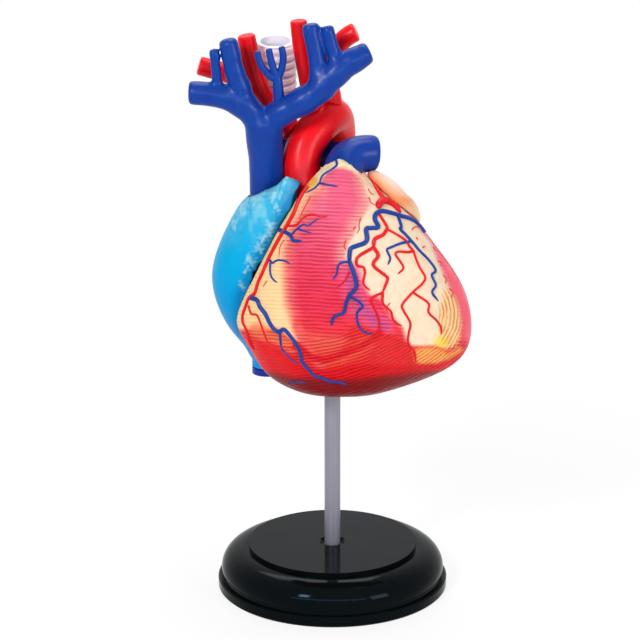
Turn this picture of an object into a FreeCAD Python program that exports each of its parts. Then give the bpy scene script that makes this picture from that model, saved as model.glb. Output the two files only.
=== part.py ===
import FreeCAD, Part
import math
import os

from FreeCAD import Vector

# A human heart model on a round stand, in millimetres, +Z up.
# The origin is the centre of the base's underside, on the axis of the support rod.
# The front of the heart faces -Y. The heart's own heights start at its lowest point.

os.makedirs("parts", exist_ok=True)


def along(*places):
    """The points that a tube's centre line runs through."""
    return [Vector(*place) for place in places]


# ---- stand ----
BASE_RADIUS = 43.6
BASE_HEIGHT = 17.0
BASE_DISC_RADIUS = 31.9
BASE_GROOVE_WIDTH = 1.2
BASE_GROOVE_DEPTH = 1.7
BASE_NECK_DEPTH = 1.6
BASE_SHELL = 2.5
FLANGE_HEIGHT = 4.0
FLANGE_ROUNDING = 0.5
BASE_HOLLOW_SIDE = 8.0
BASE_RIB_RISE = 2.0
BASE_RIB_COUNT = 6
BASE_RIB_THICKNESS = 2.0
BASE_BOSS_RADIUS = 8.0
RECESS_RADIUS = 5.0
RECESS_DEPTH = 1.2
ROD_RADIUS = 3.0
ROD_VISIBLE = 60.0
ROD_FLOOR = 3.0
ROD_FIT = 0.05
ROD_CHAMFER = 0.6
HEART_Z = BASE_HEIGHT + ROD_VISIBLE

# The dome from its shoulder down to its foot: share of the way out, share of the height.
BASE_DOME = [(0.38, 0.86), (0.80, 0.73), (1.01, 0.53), (1.0, 0.33)]

# ---- socket in the heart ----
SOCKET_DEPTH = 22.0
SLEEVE_RADIUS = 4.2
BOSS_WALL = 1.9
SLEEVE_CROWN = 1.5
SEAT_GAP = 0.3

# ---- walls and gaps of the heart ----
LEFT_ATRIUM_WALL = 2.6
PARTING_Y = -6.5
PARTING_GAP = 0.3
PEG_RADIUS = 1.1
PEG_LENGTH = 4.0
PEG_CLEARANCE = 0.15
SEPTUM_THICKNESS = 4.5
LEAST_WALL = 2.6
GROOVE_GAP = 0.6
VALVE_PLATE_THICKNESS = 3.0
RING_POINTS = 12
RING_SQUARENESS = 2.2

# ---- valves ----
TRICUSPID_RADIUS = 8.0
MITRAL_RADIUS = 8.2
AORTIC_RADIUS = 6.2
PULMONARY_RADIUS = 6.0
VALVE_RING_WIDTH = 1.4
LEAFLET_THICKNESS = 0.8
CUSP_SLIT = 0.5
VALVE_FIT = 0.1
VALVE_SLOT_HEIGHT = 7.4
LEAFLET_DROP = 8.0
CUSP_DROP = 3.0
LEAFLET_OVERLAP = 0.2
LEAFLET_FREE_SHARE = 0.42
PULMONARY_RING_THICKNESS = 2.0

# ---- great vessels: radii ----
CAVA_RADIUS = 6.05
CAVA_SEAT = 75.8
CAVA_SPIGOT_RADIUS = 4.0
CAVA_SPIGOT_LENGTH = 9.0
BRACHIOCEPHALIC_VEIN_RADIUS = 4.7
SUBCLAVIAN_VEIN_RADIUS = 4.4
LEFT_SUBCLAVIAN_VEIN_RADIUS = 3.9
INTERNAL_JUGULAR_RADIUS = 3.2
LEFT_EXTERNAL_JUGULAR_RADIUS = 2.5
RIGHT_EXTERNAL_JUGULAR_RADIUS = 1.9
THYROID_TRUNK_RADIUS = 2.2
THYROID_TRUNK_TIP_RADIUS = 1.75
THYROID_BRANCH_ROOT_RADIUS = 1.5
THYROID_BRANCH_RADIUS = 1.2
LOWER_CAVA_RADIUS = 5.8
LOWER_CAVA_BORE = 3.2
LOWER_CAVA_BAND = 2.4
AORTA_RADIUS = 7.0
CAROTID_RADIUS = 3.3
RIGHT_CAROTID_ROOT_RADIUS = 3.9
LEFT_CAROTID_TIP_RADIUS = 3.1
SUBCLAVIAN_ARTERY_RADIUS = 3.5
RIGHT_SUBCLAVIAN_ROOT_RADIUS = 3.8
PULMONARY_TRUNK_RADIUS = 7.0
PULMONARY_TIP_RADIUS = 6.7
PULMONARY_BRANCH_RADIUS = 5.0
PULMONARY_VEIN_RADIUS = 3.4
TRACHEA_RADIUS = 7.6
TRACHEA_BORE = 5.6
TRACHEA_RING_PITCH = 3.0
TRACHEA_RING_RISE = 0.45
RING_FLANK_SHARE = 0.2
RING_CROWN_SHARE = 0.35
BRONCHUS_RADIUS = 3.9
END_ROUNDING = 0.9

UP = Vector(0, 0, 1)
SEAM_SIDE = Vector(0.31, 0.95, 0.05)
REACH = 200.0
CUTTER_LENGTH = 20.0
UP_LEAN = Vector(0.0, 0.001, 1.0)
SLEEVE_START = 0.9
AORTA_SIDE_X = -17.0
AORTA_SIDE_Y = -11.0
AORTA_SIDE_Z = 66.0
PEGS_AT = [(-31.0, 30.0), (48.3, 31.0), (20.0, 12.0)]

# Papillary muscles: root in the wall, tip in the chamber, radius at the root.
PAPILLARY_TIP_SHARE = 0.45
PAPILLARY_MUSCLES = [
    (Vector(28.0, 18.0, 35.0), Vector(20.0, 9.0, 45.0), 3.4),
    (Vector(43.0, 6.0, 27.0), Vector(32.0, 5.0, 40.0), 3.2),
    (Vector(-7.0, 7.0, 23.0), Vector(-9.0, -3.0, 39.0), 3.0),
    (Vector(6.0, 6.0, 18.0), Vector(1.0, -3.0, 34.0), 2.6),
]

# The plane between the atria and the ventricles. Its upward direction follows the
# straight front groove, its backward direction runs into the heart.
GROOVE_POINT = Vector(-21.5, -13.0, 61.5)
GROOVE_UP = Vector(0.472, 0.0, 0.882).normalize()
GROOVE_BACK = Vector(0.643, 0.766, 0.0)
GROOVE_BACK = (GROOVE_BACK - GROOVE_UP * GROOVE_BACK.dot(GROOVE_UP)).normalize()
GROOVE_NORMAL = GROOVE_UP.cross(GROOVE_BACK).normalize()

# Closed level outlines of the ventricles: height, left, right, front, back, widest depth.
VENTRICLE_LEVELS = [
    (1.7, -7.5, 13.5, -10.0, 5.0, PARTING_Y),
    (4.2, -14.5, 22.0, -16.0, 11.0, PARTING_Y),
    (8.0, -21.5, 32.0, -20.5, 16.0, PARTING_Y),
    (13.5, -27.0, 43.5, -24.5, 20.5, PARTING_Y),
    (20.0, -30.6, 49.8, -27.8, 24.0, PARTING_Y),
    (31.0, -35.6, 51.4, -30.5, 27.0, PARTING_Y),
    (44.5, -32.4, 47.5, -31.0, 27.5, PARTING_Y),
    (57.0, -26.6, 39.2, -29.5, 25.0, PARTING_Y),
    (67.5, -21.6, 31.3, -26.8, 21.0, PARTING_Y),
    (76.0, -16.6, 22.8, -23.8, 15.0, PARTING_Y),
    (83.5, -11.4, 14.4, -20.4, 7.5, PARTING_Y),
    (89.5, -4.6, 9.8, -17.4, 0.0, PARTING_Y),
]
VENTRICLE_LOWEST = Vector(0.0, 0.0, 0.5)
VENTRICLE_HIGHEST = Vector(2.4, -11.5, 93.6)

# Level outlines of the right atrium with its ear-shaped auricle.
RIGHT_ATRIUM_LEVELS = [
    (9.6, -30.4, -18.8, 7.0, 19.0, 12.4),
    (15.0, -33.2, -17.6, 3.0, 21.5, 11.3),
    (22.0, -37.8, -15.0, -2.5, 23.0, 9.0),
    (32.0, -42.4, -13.0, -9.6, 24.0, 5.5),
    (44.0, -44.8, -10.0, -12.0, 24.0, 4.2),
    (56.0, -42.3, -8.0, -13.2, 23.0, 3.1),
    (66.0, -38.0, -6.0, -14.4, 20.0, 1.1),
    (73.0, -34.3, -4.0, -15.2, 14.5, -1.8),
    (78.0, -29.4, -4.0, -15.8, 8.0, -5.1),
    (82.0, -22.0, -5.5, -16.0, -3.0, -10.1),
    (85.2, -18.2, -9.0, -15.8, -9.0, -12.7),
]
RIGHT_ATRIUM_LOWEST = Vector(-24.6, 13.0, 6.5)
RIGHT_ATRIUM_HIGHEST = Vector(-14.2, -13.6, 87.6)

RIGHT_ATRIUM_HOLLOW_CENTRE = Vector(-24.0, 3.0, 46.0)
RIGHT_ATRIUM_HOLLOW_HALF = (17.0, 12.0, 26.0)
LOWER_CAVA_AT = Vector(-24.6, 13.0, 0.0)
LOWER_COLLAR_HEIGHT = 7.0
LOWER_CAVA_BOTTOM = 3.6
LOWER_CAVA_SPIGOT = 4.2
LOWER_CAVA_SPIGOT_LENGTH = 5.0

# The left atrium is a flattened ball behind the aorta.
LEFT_ATRIUM_CENTRE = Vector(-4.0, 22.0, 60.0)
LEFT_ATRIUM_HALF = (19.0, 16.0, 17.0)

# Where each valve sits on the groove plane: along its upward and backward directions.
TRICUSPID_AT = (-1.0, 14.5)
MITRAL_AT = (4.5, 33.0)
AORTIC_AT = (18.0, 13.0)

# The hollow of each ventricle.
SEPTUM_RUN = Vector(0.857, -0.125, -0.499).normalize()
LEFT_CAVITY_CENTRE = Vector(20.0, 5.0, 46.0)
LEFT_CAVITY_HALF_LENGTH = 30.0
LEFT_CAVITY_HALF_WIDTH = 12.0
OUTFLOW_WALL = 2.0
OUTFLOW_ROOT = 12.0
INFLOW_ROOT = 4.0
MOUTH_RUN = 8.0
MOUTH_OVERRUN = 2.0
RIGHT_CAVITY_CENTRE = Vector(-4.0, -10.5, 42.0)
RIGHT_CAVITY_AXIS = Vector(0.05, 0.02, 1.0).normalize()
RIGHT_CAVITY_HALF_HEIGHT = 33.0
RIGHT_CAVITY_HALF_WIDTH = 24.0
RIGHT_CAVITY_HALF_DEPTH = 14.5
CONUS_RISE = 16.0
CONUS_RUN = 9.0
INLET_DEPTH = 14.0
INLET_LENGTH = 12.0
VALVE_PLATE_MARGIN = 9.8
PLATE_SEAT_HEIGHT = 5.0
CHAMBER_ROOF = 6.0

# The ventricles' outer form measured from inside: centre and half sizes.
VENTRICLE_CENTRE = Vector(8.0, PARTING_Y, 42.0)
VENTRICLE_HALF = (41.0, 24.5, 41.5)

# Centre lines of the vessels.
CAVA_PATH = along((-24.4, -0.6, CAVA_SEAT), (-24.4, -0.7, 82), (-24.6, -1.2, 92), (-24.8, -1.8, 99),
                  (-24.9, -2.2, 103.5))
LEFT_BRACHIOCEPHALIC_PATH = along((-25.2, -1.6, 101.5), (-19, -3.6, 108.6), (-10.5, -5.0, 113.6),
                                  (-3.6, -5.2, 118.8), (1.8, -4.6, 124.4), (7, -3.6, 127.9),
                                  (13.2, -2.6, 131))
RIGHT_BRACHIOCEPHALIC_PATH = along((-24.4, -1.8, 101.5), (-29.5, -2.6, 108.8), (-36, -2.8, 113.2),
                                   (-44, -2.4, 115.3), (-52.2, -2.0, 115.8))
LEFT_INTERNAL_JUGULAR_PATH = along((-3.4, -5.2, 118.6), (-5.2, -4.6, 124), (-5.6, -4.0, 128),
                                   (-6.8, -3.2, 134.6), (-8.0, -2.6, 141.6))
LEFT_EXTERNAL_JUGULAR_PATH = along((1.6, -4.6, 124.6), (0.6, -4.4, 131), (-0.8, -3.9, 136),
                                   (-1.9, -3.4, 140.9))
RIGHT_INTERNAL_JUGULAR_PATH = along((-31.0, -2.8, 110.2), (-32.9, -2.9, 116.9), (-35.0, -2.9, 122.6),
                                    (-36.5, -2.7, 129.4), (-37.8, -2.4, 135.4))
RIGHT_EXTERNAL_JUGULAR_PATH = along((-40.6, -2.6, 114.6), (-41.8, -3.0, 121), (-42.4, -3.0, 127),
                                    (-42.9, -2.8, 132.4))
THYROID_TRUNK_PATH = along((-19.4, -3.6, 110), (-19.6, -3.4, 117.4), (-20.1, -3.0, 123))
THYROID_BRANCH_PATHS = [
    along((-20.0, -3.1, 121.0), (-22.9, -3.0, 122.7), (-25.6, -2.8, 126.0), (-27.0, -2.6, 131.5)),
    along((-20.1, -3.0, 121.4), (-21.5, -3.0, 125.5), (-22.4, -2.8, 129.0), (-23.0, -2.6, 132.3)),
    along((-20.1, -3.0, 121.0), (-18.5, -3.0, 124.6), (-17.8, -2.8, 129.0), (-18.6, -2.6, 133.1)),
]
AORTA_PATH = along((-3.6, -5.4, 68.0), (-7.8, -2.4, 76.0), (-11.0, 0.2, 85.0), (-10.4, 3.0, 93.4),
                   (-5.9, 7.2, 100.0), (-1.5, 12.6, 103.0), (0.9, 19.5, 100.6), (1.6, 24.4, 94.4),
                   (1.8, 26.0, 86.0))
RIGHT_CAROTID_PATH = along((-14.6, 6.6, 98.8), (-19.6, 9.2, 104.7), (-25.4, 10.0, 111.9),
                           (-28.2, 10.0, 119.2), (-29.8, 9.8, 125.5), (-30.8, 9.6, 130.7),
                           (-31.5, 9.4, 134.6))
RIGHT_SUBCLAVIAN_PATH = along((-24.4, 10.0, 110.4), (-31.4, 10.4, 117.1), (-39.6, 10.2, 120.5),
                              (-48.9, 9.8, 123.3))
LEFT_CAROTID_PATH = along((-5.0, 8.6, 100.5), (-7.6, 7.6, 110.0), (-9.0, 6.9, 118.1), (-10.4, 6.6, 125.5),
                          (-11.6, 6.4, 133.3), (-12.3, 6.2, 140.8))
LEFT_SUBCLAVIAN_PATH = along((0.6, 13.4, 102.0), (-0.6, 12.0, 113.0), (-0.6, 10.4, 125.0), (2.8, 9.4, 131.6),
                             (8.7, 8.8, 136.0))
PULMONARY_PATH = along((4.4, -11.6, 78.5), (3.8, -8.4, 85.4), (5.4, -2.0, 90.6), (10.8, 1.6, 91.9),
                       (16.2, 3.5, 91.6))
PULMONARY_BRANCH_PATH = along((6.6, 1.0, 90.6), (0.6, 10.6, 89.2), (-10.0, 16.8, 88.2), (-24.0, 19.6, 87.2))
TRACHEA_BOTTOM = Vector(-20.6, 25.6, 91.6)
TRACHEA_TOP = Vector(-21.0, 19.8, 130.2)
BRONCHUS_PATHS = [along((-20.6, 25.2, 98.0), (-22.8, 27.8, 92.0), (-25.6, 30.0, 86.5)),
                  along((-20.6, 25.2, 98.0), (-17.0, 28.2, 92.0), (-12.0, 30.6, 88.0))]
PULMONARY_VEIN_PATHS = {
    "right_upper_pulmonary_vein": along((-14.0, 30.0, 65.0), (-22.0, 31.4, 68.4), (-29.0, 31.0, 70.4)),
    "right_lower_pulmonary_vein": along((-14.0, 30.0, 56.0), (-22.0, 31.6, 53.4), (-29.0, 31.2, 51.4)),
    "left_upper_pulmonary_vein": along((3.0, 33.0, 66.0), (12.0, 38.9, 70.2), (21.0, 39.8, 72.2)),
    "left_lower_pulmonary_vein": along((3.0, 32.0, 56.0), (12.0, 35.6, 53.6), (21.0, 35.6, 51.8)),
}
LEFT_AURICLE_PATH = along((7.5, 27.5, 65.5), (17.5, 25.8, 66.6), (25.0, 17.6, 66.6), (26.6, 7.0, 66.0),
                          (24.7, -0.4, 71.2), (21.0, -2.8, 77.4), (15.2, -2.6, 83.6))
LEFT_AURICLE_RADII = [5.5, 5.8, 6.0, 6.0, 5.6, 5.0, 3.2]


def level_points(height, left, right, front, back, widest_y):
    """Points round a closed level outline, widest where the front and back halves meet."""
    centre_x = (left + right) / 2
    half_x = (right - left) / 2
    points = []
    for step in range(RING_POINTS):
        angle = 2 * math.pi * step / RING_POINTS + math.pi / 2
        across = math.copysign(abs(math.cos(angle)) ** (2 / RING_SQUARENESS), math.cos(angle))
        along = math.copysign(abs(math.sin(angle)) ** (2 / RING_SQUARENESS), math.sin(angle))
        depth = back - widest_y if along > 0 else widest_y - front
        points.append(Vector(centre_x + half_x * across, widest_y + depth * along, height))
    return points


def level_grid(levels, lowest, highest):
    """Rows of points from the lowest point up through the level outlines to the highest."""
    rows = [[lowest] * RING_POINTS]
    for level in levels:
        rows.append(level_points(*level))
    rows.append([highest] * RING_POINTS)
    return rows


def smooth_solid(rows):
    """Closed smooth solid through a grid of points that comes to a point at each end."""
    marks = [0.0]
    for row in range(1, len(rows)):
        steps = [rows[row][step].distanceToPoint(rows[row - 1][step]) for step in range(RING_POINTS)]
        marks.append(marks[-1] + math.sqrt(sum(steps) / RING_POINTS))
    columns = []
    for step in range(RING_POINTS):
        rib = Part.BSplineCurve()
        rib.interpolate(Points=[row[step] for row in rows], Parameters=marks)
        columns.append(rib)
    poles = []
    for level in zip(*[rib.getPoles() for rib in columns]):
        hoop = Part.BSplineCurve()
        if max(level[0].distanceToPoint(other) for other in level) < 1e-6:
            poles.append([level[0]] * (RING_POINTS + 1))
            continue
        hoop.interpolate(Points=list(level), PeriodicFlag=True,
                         Parameters=[float(i) for i in range(RING_POINTS + 1)])
        poles.append(hoop.getPoles())
        hoop_knots = (hoop.getKnots(), hoop.getMultiplicities())
    surface = Part.BSplineSurface()
    surface.buildFromPolesMultsKnots(poles, columns[0].getMultiplicities(), hoop_knots[1],
                                     columns[0].getKnots(), hoop_knots[0], False, True, 3, 3)
    return Part.Solid(Part.Shell([surface.toShape()]))


def ellipsoid(centre, long_axis, half_long, half_side, half_deep):
    """Egg-shaped solid with its long axis as given and its side axis level."""
    side_axis = UP.cross(long_axis).normalize()
    deep_axis = long_axis.cross(side_axis).normalize()
    matrix = FreeCAD.Matrix()
    matrix.setCol(0, side_axis * half_side)
    matrix.setCol(1, deep_axis * half_deep)
    matrix.setCol(2, long_axis * half_long)
    matrix.setCol(3, centre)
    return Part.makeSphere(1.0).transformGeometry(matrix)


def tube(path, radii):
    """Round solid along a smooth centre line, its radius set at each point of the line."""
    line = Part.BSplineCurve()
    line.interpolate(Points=path)
    sections = []
    for point, radius in zip(path, radii):
        tangent = line.tangent(line.parameter(point))[0]
        circle = Part.Circle(point, tangent, radius)
        circle.XAxis = tangent.cross(SEAM_SIDE).normalize()
        sections.append(Part.Wire([circle.toShape()]))
    return Part.makeLoft(sections, True, False)


def rounded_tube(path, radii):
    """A tube whose far end is a flat cut with a softly rounded edge."""
    way = tube_end_way(path)
    soft = min(END_ROUNDING, radii[-1] / 2)
    flat = radii[-1] - soft
    neck = path[-1] - way * soft
    body = tube(path[:-1] + [neck], radii)
    knee = Vector(flat + soft * math.sin(math.pi / 4), 0, soft * math.cos(math.pi / 4))
    outline = [Part.makeLine(Vector(0, 0, 0), Vector(radii[-1], 0, 0)),
               Part.Arc(Vector(radii[-1], 0, 0), knee, Vector(flat, 0, soft)).toShape(),
               Part.makeLine(Vector(flat, 0, soft), Vector(0, 0, soft)),
               Part.makeLine(Vector(0, 0, soft), Vector(0, 0, 0))]
    cap = Part.Face(Part.Wire(outline)).revolve(Vector(0, 0, 0), UP, 360)
    end_way = tube_end_way(path[:-1] + [neck])
    cap.Placement = FreeCAD.Placement(neck, FreeCAD.Rotation(UP, end_way))
    return body.fuse(cap)


def tube_end_way(path):
    """Direction in which a smooth line through the points leaves its last point."""
    line = Part.BSplineCurve()
    line.interpolate(Points=path)
    return line.tangent(line.LastParameter)[0]


def tube_start_way(path):
    """Direction in which the same line sets out."""
    return tube_end_way(path[::-1]) * -1


def even(radius, path):
    return [radius] * len(path)


def on_groove(up_shift, back_shift, offset):
    """Point given along the groove plane and square to it, toward the atria."""
    return GROOVE_POINT + GROOVE_UP * up_shift + GROOVE_BACK * back_shift + GROOVE_NORMAL * offset


def groove_block(low, high):
    """Large block between two offsets of the groove plane."""
    block = Part.makeBox(2 * REACH, 2 * REACH, high - low, Vector(-REACH, -REACH, low))
    block.Placement = groove_placement(0.0, 0.0)
    return block


def groove_placement(up_shift, back_shift):
    turn = FreeCAD.Rotation(GROOVE_UP, GROOVE_BACK, GROOVE_NORMAL, "ZXY")
    return FreeCAD.Placement(on_groove(up_shift, back_shift, 0.0), turn)


def slab_y(low, high):
    """Large block between two depths."""
    return Part.makeBox(2 * REACH, high - low, 2 * REACH, Vector(-REACH, low, -REACH))


def turned(profile):
    """Solid of revolution about the vertical axis from a closed (radius, height) outline."""
    points = [Vector(radius, 0, height) for radius, height in profile]
    face = Part.Face(Part.makePolygon(points + [points[0]]))
    return face.revolve(Vector(0, 0, 0), UP, 360)


def write(name, shape, lift=HEART_Z):
    """One node, in the frame of the whole stand."""
    placed = shape.copy()
    placed.translate(Vector(0, 0, lift))
    placed.exportStep("parts/" + name + ".step")


# ---------------------------------------------------------------- stand base
# A turned dome with a sunk disc on top, a neck and a foot flange; hollow underneath,
# with a boss for the rod and radial ribs.
shoulder = BASE_DISC_RADIUS + BASE_GROOVE_WIDTH
dome_edge = BASE_RADIUS - BASE_NECK_DEPTH
groove_floor = BASE_HEIGHT - BASE_GROOVE_DEPTH
dome = [Vector(shoulder + (dome_edge - shoulder) * out, 0, BASE_HEIGHT * high) for out, high in BASE_DOME]
side = Part.BSplineCurve()
side.interpolate(Points=[Vector(shoulder, 0, groove_floor)] + dome)
runs = [(dome_edge, FLANGE_HEIGHT), (BASE_RADIUS - FLANGE_ROUNDING, FLANGE_HEIGHT),
        (BASE_RADIUS, FLANGE_HEIGHT - FLANGE_ROUNDING), (BASE_RADIUS, FLANGE_ROUNDING),
        (BASE_RADIUS - FLANGE_ROUNDING, 0), (0, 0), (0, BASE_HEIGHT), (BASE_DISC_RADIUS, BASE_HEIGHT),
        (BASE_DISC_RADIUS, groove_floor), (shoulder, groove_floor)]
straight = Part.makePolygon([dome[-1]] + [Vector(radius, 0, height) for radius, height in runs])
outline = [side.toShape()] + straight.Edges
base = Part.Face(Part.Wire(outline)).revolve(Vector(0, 0, 0), UP, 360)
inner_edge = dome_edge - BASE_SHELL
ceiling = groove_floor - BASE_SHELL
hollow = turned([(0, -1), (inner_edge, -1), (inner_edge, BASE_HOLLOW_SIDE), (shoulder, ceiling),
                 (0, ceiling)])
boss = Part.makeCylinder(BASE_BOSS_RADIUS, ceiling + 1)
hollow = hollow.cut(boss)
for rib in range(BASE_RIB_COUNT):
    plate = Part.makeBox(inner_edge + 1, BASE_RIB_THICKNESS, BASE_HEIGHT,
                         Vector(0, -BASE_RIB_THICKNESS / 2, BASE_RIB_RISE))
    plate.rotate(Vector(0, 0, 0), UP, 360 * (rib + 0.5) / BASE_RIB_COUNT)
    hollow = hollow.cut(plate)
base = base.cut(hollow)
base = base.cut(Part.makeCylinder(ROD_RADIUS + ROD_FIT, BASE_HEIGHT, Vector(0, 0, ROD_FLOOR)))
recess_floor = BASE_HEIGHT - RECESS_DEPTH
base = base.cut(turned([(0, recess_floor), (RECESS_RADIUS - RECESS_DEPTH, recess_floor), (RECESS_RADIUS, BASE_HEIGHT),
                        (RECESS_RADIUS, BASE_HEIGHT + 1), (0, BASE_HEIGHT + 1)]))
write("stand_base", base, 0.0)

# ---------------------------------------------------------------- stand rod
# A plain round rod standing in the base and reaching into the heart's socket.
rod_bottom = ROD_FLOOR + SEAT_GAP
rod_top = HEART_Z + SOCKET_DEPTH - SEAT_GAP
rod = turned([(0, rod_bottom), (ROD_RADIUS - ROD_CHAMFER, rod_bottom), (ROD_RADIUS, rod_bottom + ROD_CHAMFER),
              (ROD_RADIUS, rod_top - ROD_CHAMFER), (ROD_RADIUS - ROD_CHAMFER, rod_top), (0, rod_top)])
write("stand_rod", rod, 0.0)

# ---------------------------------------------------------------- forms used by several pieces
ventricles = smooth_solid(level_grid(VENTRICLE_LEVELS, VENTRICLE_LOWEST, VENTRICLE_HIGHEST))
below_groove = ventricles.common(groove_block(-REACH, 0.0))
shrink = [1 - LEAST_WALL / half for half in VENTRICLE_HALF]
lining_matrix = FreeCAD.Matrix()
lining_matrix.move(VENTRICLE_CENTRE * -1)
lining_matrix.scale(*shrink)
lining_matrix.move(VENTRICLE_CENTRE)
lining = ventricles.transformGeometry(lining_matrix)


def grown_ventricles(gap):
    """The ventricles' outer form made larger all round by a gap."""
    levels = [(height, left - gap, right + gap, front - gap, back + gap, widest)
              for height, left, right, front, back, widest in VENTRICLE_LEVELS]
    return smooth_solid(level_grid(levels, VENTRICLE_LOWEST - UP * gap, VENTRICLE_HIGHEST + UP * gap))


above_chambers = groove_block(-CHAMBER_ROOF, REACH)
left_cavity = ellipsoid(LEFT_CAVITY_CENTRE, SEPTUM_RUN, LEFT_CAVITY_HALF_LENGTH, LEFT_CAVITY_HALF_WIDTH,
                        LEFT_CAVITY_HALF_WIDTH)
aortic_mouth = on_groove(AORTIC_AT[0], AORTIC_AT[1], 0.0)
outflow_path = [LEFT_CAVITY_CENTRE - SEPTUM_RUN * OUTFLOW_ROOT, aortic_mouth - GROOVE_NORMAL * MOUTH_RUN,
                aortic_mouth + GROOVE_NORMAL * MOUTH_OVERRUN]
outflow = tube(outflow_path, even(AORTIC_RADIUS, outflow_path))
mitral_mouth = on_groove(MITRAL_AT[0], MITRAL_AT[1], 0.0)
inflow_path = [mitral_mouth + GROOVE_NORMAL * MOUTH_OVERRUN, mitral_mouth - GROOVE_NORMAL * MOUTH_RUN,
               LEFT_CAVITY_CENTRE - SEPTUM_RUN * INFLOW_ROOT]
inflow = tube(inflow_path, even(MITRAL_RADIUS, inflow_path))
left_cavity = left_cavity.cut(above_chambers).fuse(outflow).fuse(inflow)
septum_skin = ellipsoid(LEFT_CAVITY_CENTRE, SEPTUM_RUN, LEFT_CAVITY_HALF_LENGTH + SEPTUM_THICKNESS,
                        LEFT_CAVITY_HALF_WIDTH + SEPTUM_THICKNESS, LEFT_CAVITY_HALF_WIDTH + SEPTUM_THICKNESS)
outflow_skin_path = outflow_path[:-1] + [aortic_mouth + GROOVE_NORMAL * 3 * MOUTH_OVERRUN]
outflow_skin = tube(outflow_skin_path, even(AORTIC_RADIUS + OUTFLOW_WALL, outflow_skin_path))
right_cavity = ellipsoid(RIGHT_CAVITY_CENTRE, RIGHT_CAVITY_AXIS, RIGHT_CAVITY_HALF_HEIGHT,
                         RIGHT_CAVITY_HALF_DEPTH, RIGHT_CAVITY_HALF_WIDTH)
trunk_start = PULMONARY_PATH[0]
trunk_way = tube_start_way(PULMONARY_PATH)
conus_path = [RIGHT_CAVITY_CENTRE + UP * CONUS_RISE, trunk_start - trunk_way * CONUS_RUN,
              trunk_start - trunk_way * CONUS_RUN / 2, trunk_start + trunk_way]
conus = tube(conus_path, even(PULMONARY_RADIUS + SEAT_GAP, conus_path))
inlet = Part.makeCylinder(TRICUSPID_RADIUS - SEAT_GAP, INLET_LENGTH, Vector(0, 0, -INLET_DEPTH))
inlet.Placement = groove_placement(*TRICUSPID_AT)
inflow_skin = tube(inflow_path, even(MITRAL_RADIUS + OUTFLOW_WALL, inflow_path))
right_cavity = right_cavity.common(lining).cut(above_chambers)
right_cavity = right_cavity.cut(septum_skin).cut(outflow_skin).cut(inflow_skin)
right_cavity = right_cavity.fuse(conus).fuse(inlet)

pulmonary_clearance = tube(PULMONARY_PATH, even(PULMONARY_TRUNK_RADIUS + SEAT_GAP, PULMONARY_PATH))
branch_clearance = tube(PULMONARY_BRANCH_PATH,
                        even(PULMONARY_BRANCH_RADIUS + SEAT_GAP, PULMONARY_BRANCH_PATH))
aorta_clearance = tube(AORTA_PATH, even(AORTA_RADIUS + SEAT_GAP, AORTA_PATH))


def valve_triangle(radius, low, high):
    """Rounded triangular plate round the three valves of the groove plane."""
    corners = [Vector(*place, low) for place in (TRICUSPID_AT, MITRAL_AT, AORTIC_AT)]
    wire = Part.makePolygon(corners + [corners[0]])
    plate = Part.Face(wire.makeOffset2D(radius, 0)).extrude(Vector(0, 0, high - low))
    plate.Placement = groove_placement(0.0, 0.0)
    return plate


sleeve_top = SOCKET_DEPTH + SEAT_GAP + SLEEVE_CROWN
socket_boss = Part.makeCylinder(SLEEVE_RADIUS + BOSS_WALL, sleeve_top + BOSS_WALL)
right_cavity = right_cavity.cut(socket_boss)
plate_seat = valve_triangle(VALVE_PLATE_MARGIN + SEAT_GAP, -VALVE_PLATE_THICKNESS - SEAT_GAP,
                            PLATE_SEAT_HEIGHT)
hollow_heart = below_groove.cut(plate_seat)
hollow_heart = hollow_heart.cut(left_cavity).cut(right_cavity).cut(pulmonary_clearance).cut(branch_clearance)

# ---------------------------------------------------------------- walls of the ventricles
# The heart parts at its widest, so the front wall comes straight off forward. Moulded pegs
# on the rear wall locate it. The rear wall keeps the boss for the socket and carries the
# papillary muscles.
anterior_wall = hollow_heart.common(slab_y(-REACH, PARTING_Y - PARTING_GAP / 2))
slot_corner = Vector(trunk_start.x - PULMONARY_RADIUS, trunk_start.y, trunk_start.z - VALVE_SLOT_HEIGHT + 1.0)
valve_slot = Part.makeBox(2 * PULMONARY_RADIUS, REACH, VALVE_SLOT_HEIGHT, slot_corner)
anterior_wall = anterior_wall.cut(valve_slot)
posterior_wall = hollow_heart.common(slab_y(PARTING_Y + PARTING_GAP / 2, REACH))

sleeve_hole = Part.makeCylinder(SLEEVE_RADIUS + ROD_FIT, sleeve_top + 1, Vector(0, 0, -1))
for root, tip, root_radius in PAPILLARY_MUSCLES:
    line = tip - root
    tip_radius = root_radius * PAPILLARY_TIP_SHARE
    cone = Part.makeCone(root_radius, tip_radius, line.Length, root, line)
    posterior_wall = posterior_wall.fuse(cone.fuse(Part.makeSphere(tip_radius, tip)))
posterior_wall = posterior_wall.cut(sleeve_hole)
for peg_x, peg_z in PEGS_AT:
    start = Vector(peg_x, PARTING_Y + 1, peg_z)
    peg = Part.makeCylinder(PEG_RADIUS, PEG_LENGTH + 1, start, Vector(0, -1, 0))
    posterior_wall = posterior_wall.fuse(peg)
    hole = Part.makeCylinder(PEG_RADIUS + PEG_CLEARANCE, PEG_LENGTH + 1 + SEAT_GAP, start, Vector(0, -1, 0))
    anterior_wall = anterior_wall.cut(hole)
write("anterior_wall", anterior_wall)
write("posterior_wall", posterior_wall)

# ---------------------------------------------------------------- rod socket
# A metal sleeve, closed at the top, that turns and lifts on the rod.
sleeve_bore = ROD_RADIUS + ROD_FIT
sleeve = turned([(sleeve_bore, SLEEVE_START), (SLEEVE_RADIUS, SLEEVE_START), (SLEEVE_RADIUS, sleeve_top),
                 (0, sleeve_top), (0, SOCKET_DEPTH), (sleeve_bore, SOCKET_DEPTH)])
write("rod_socket", sleeve)

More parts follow.
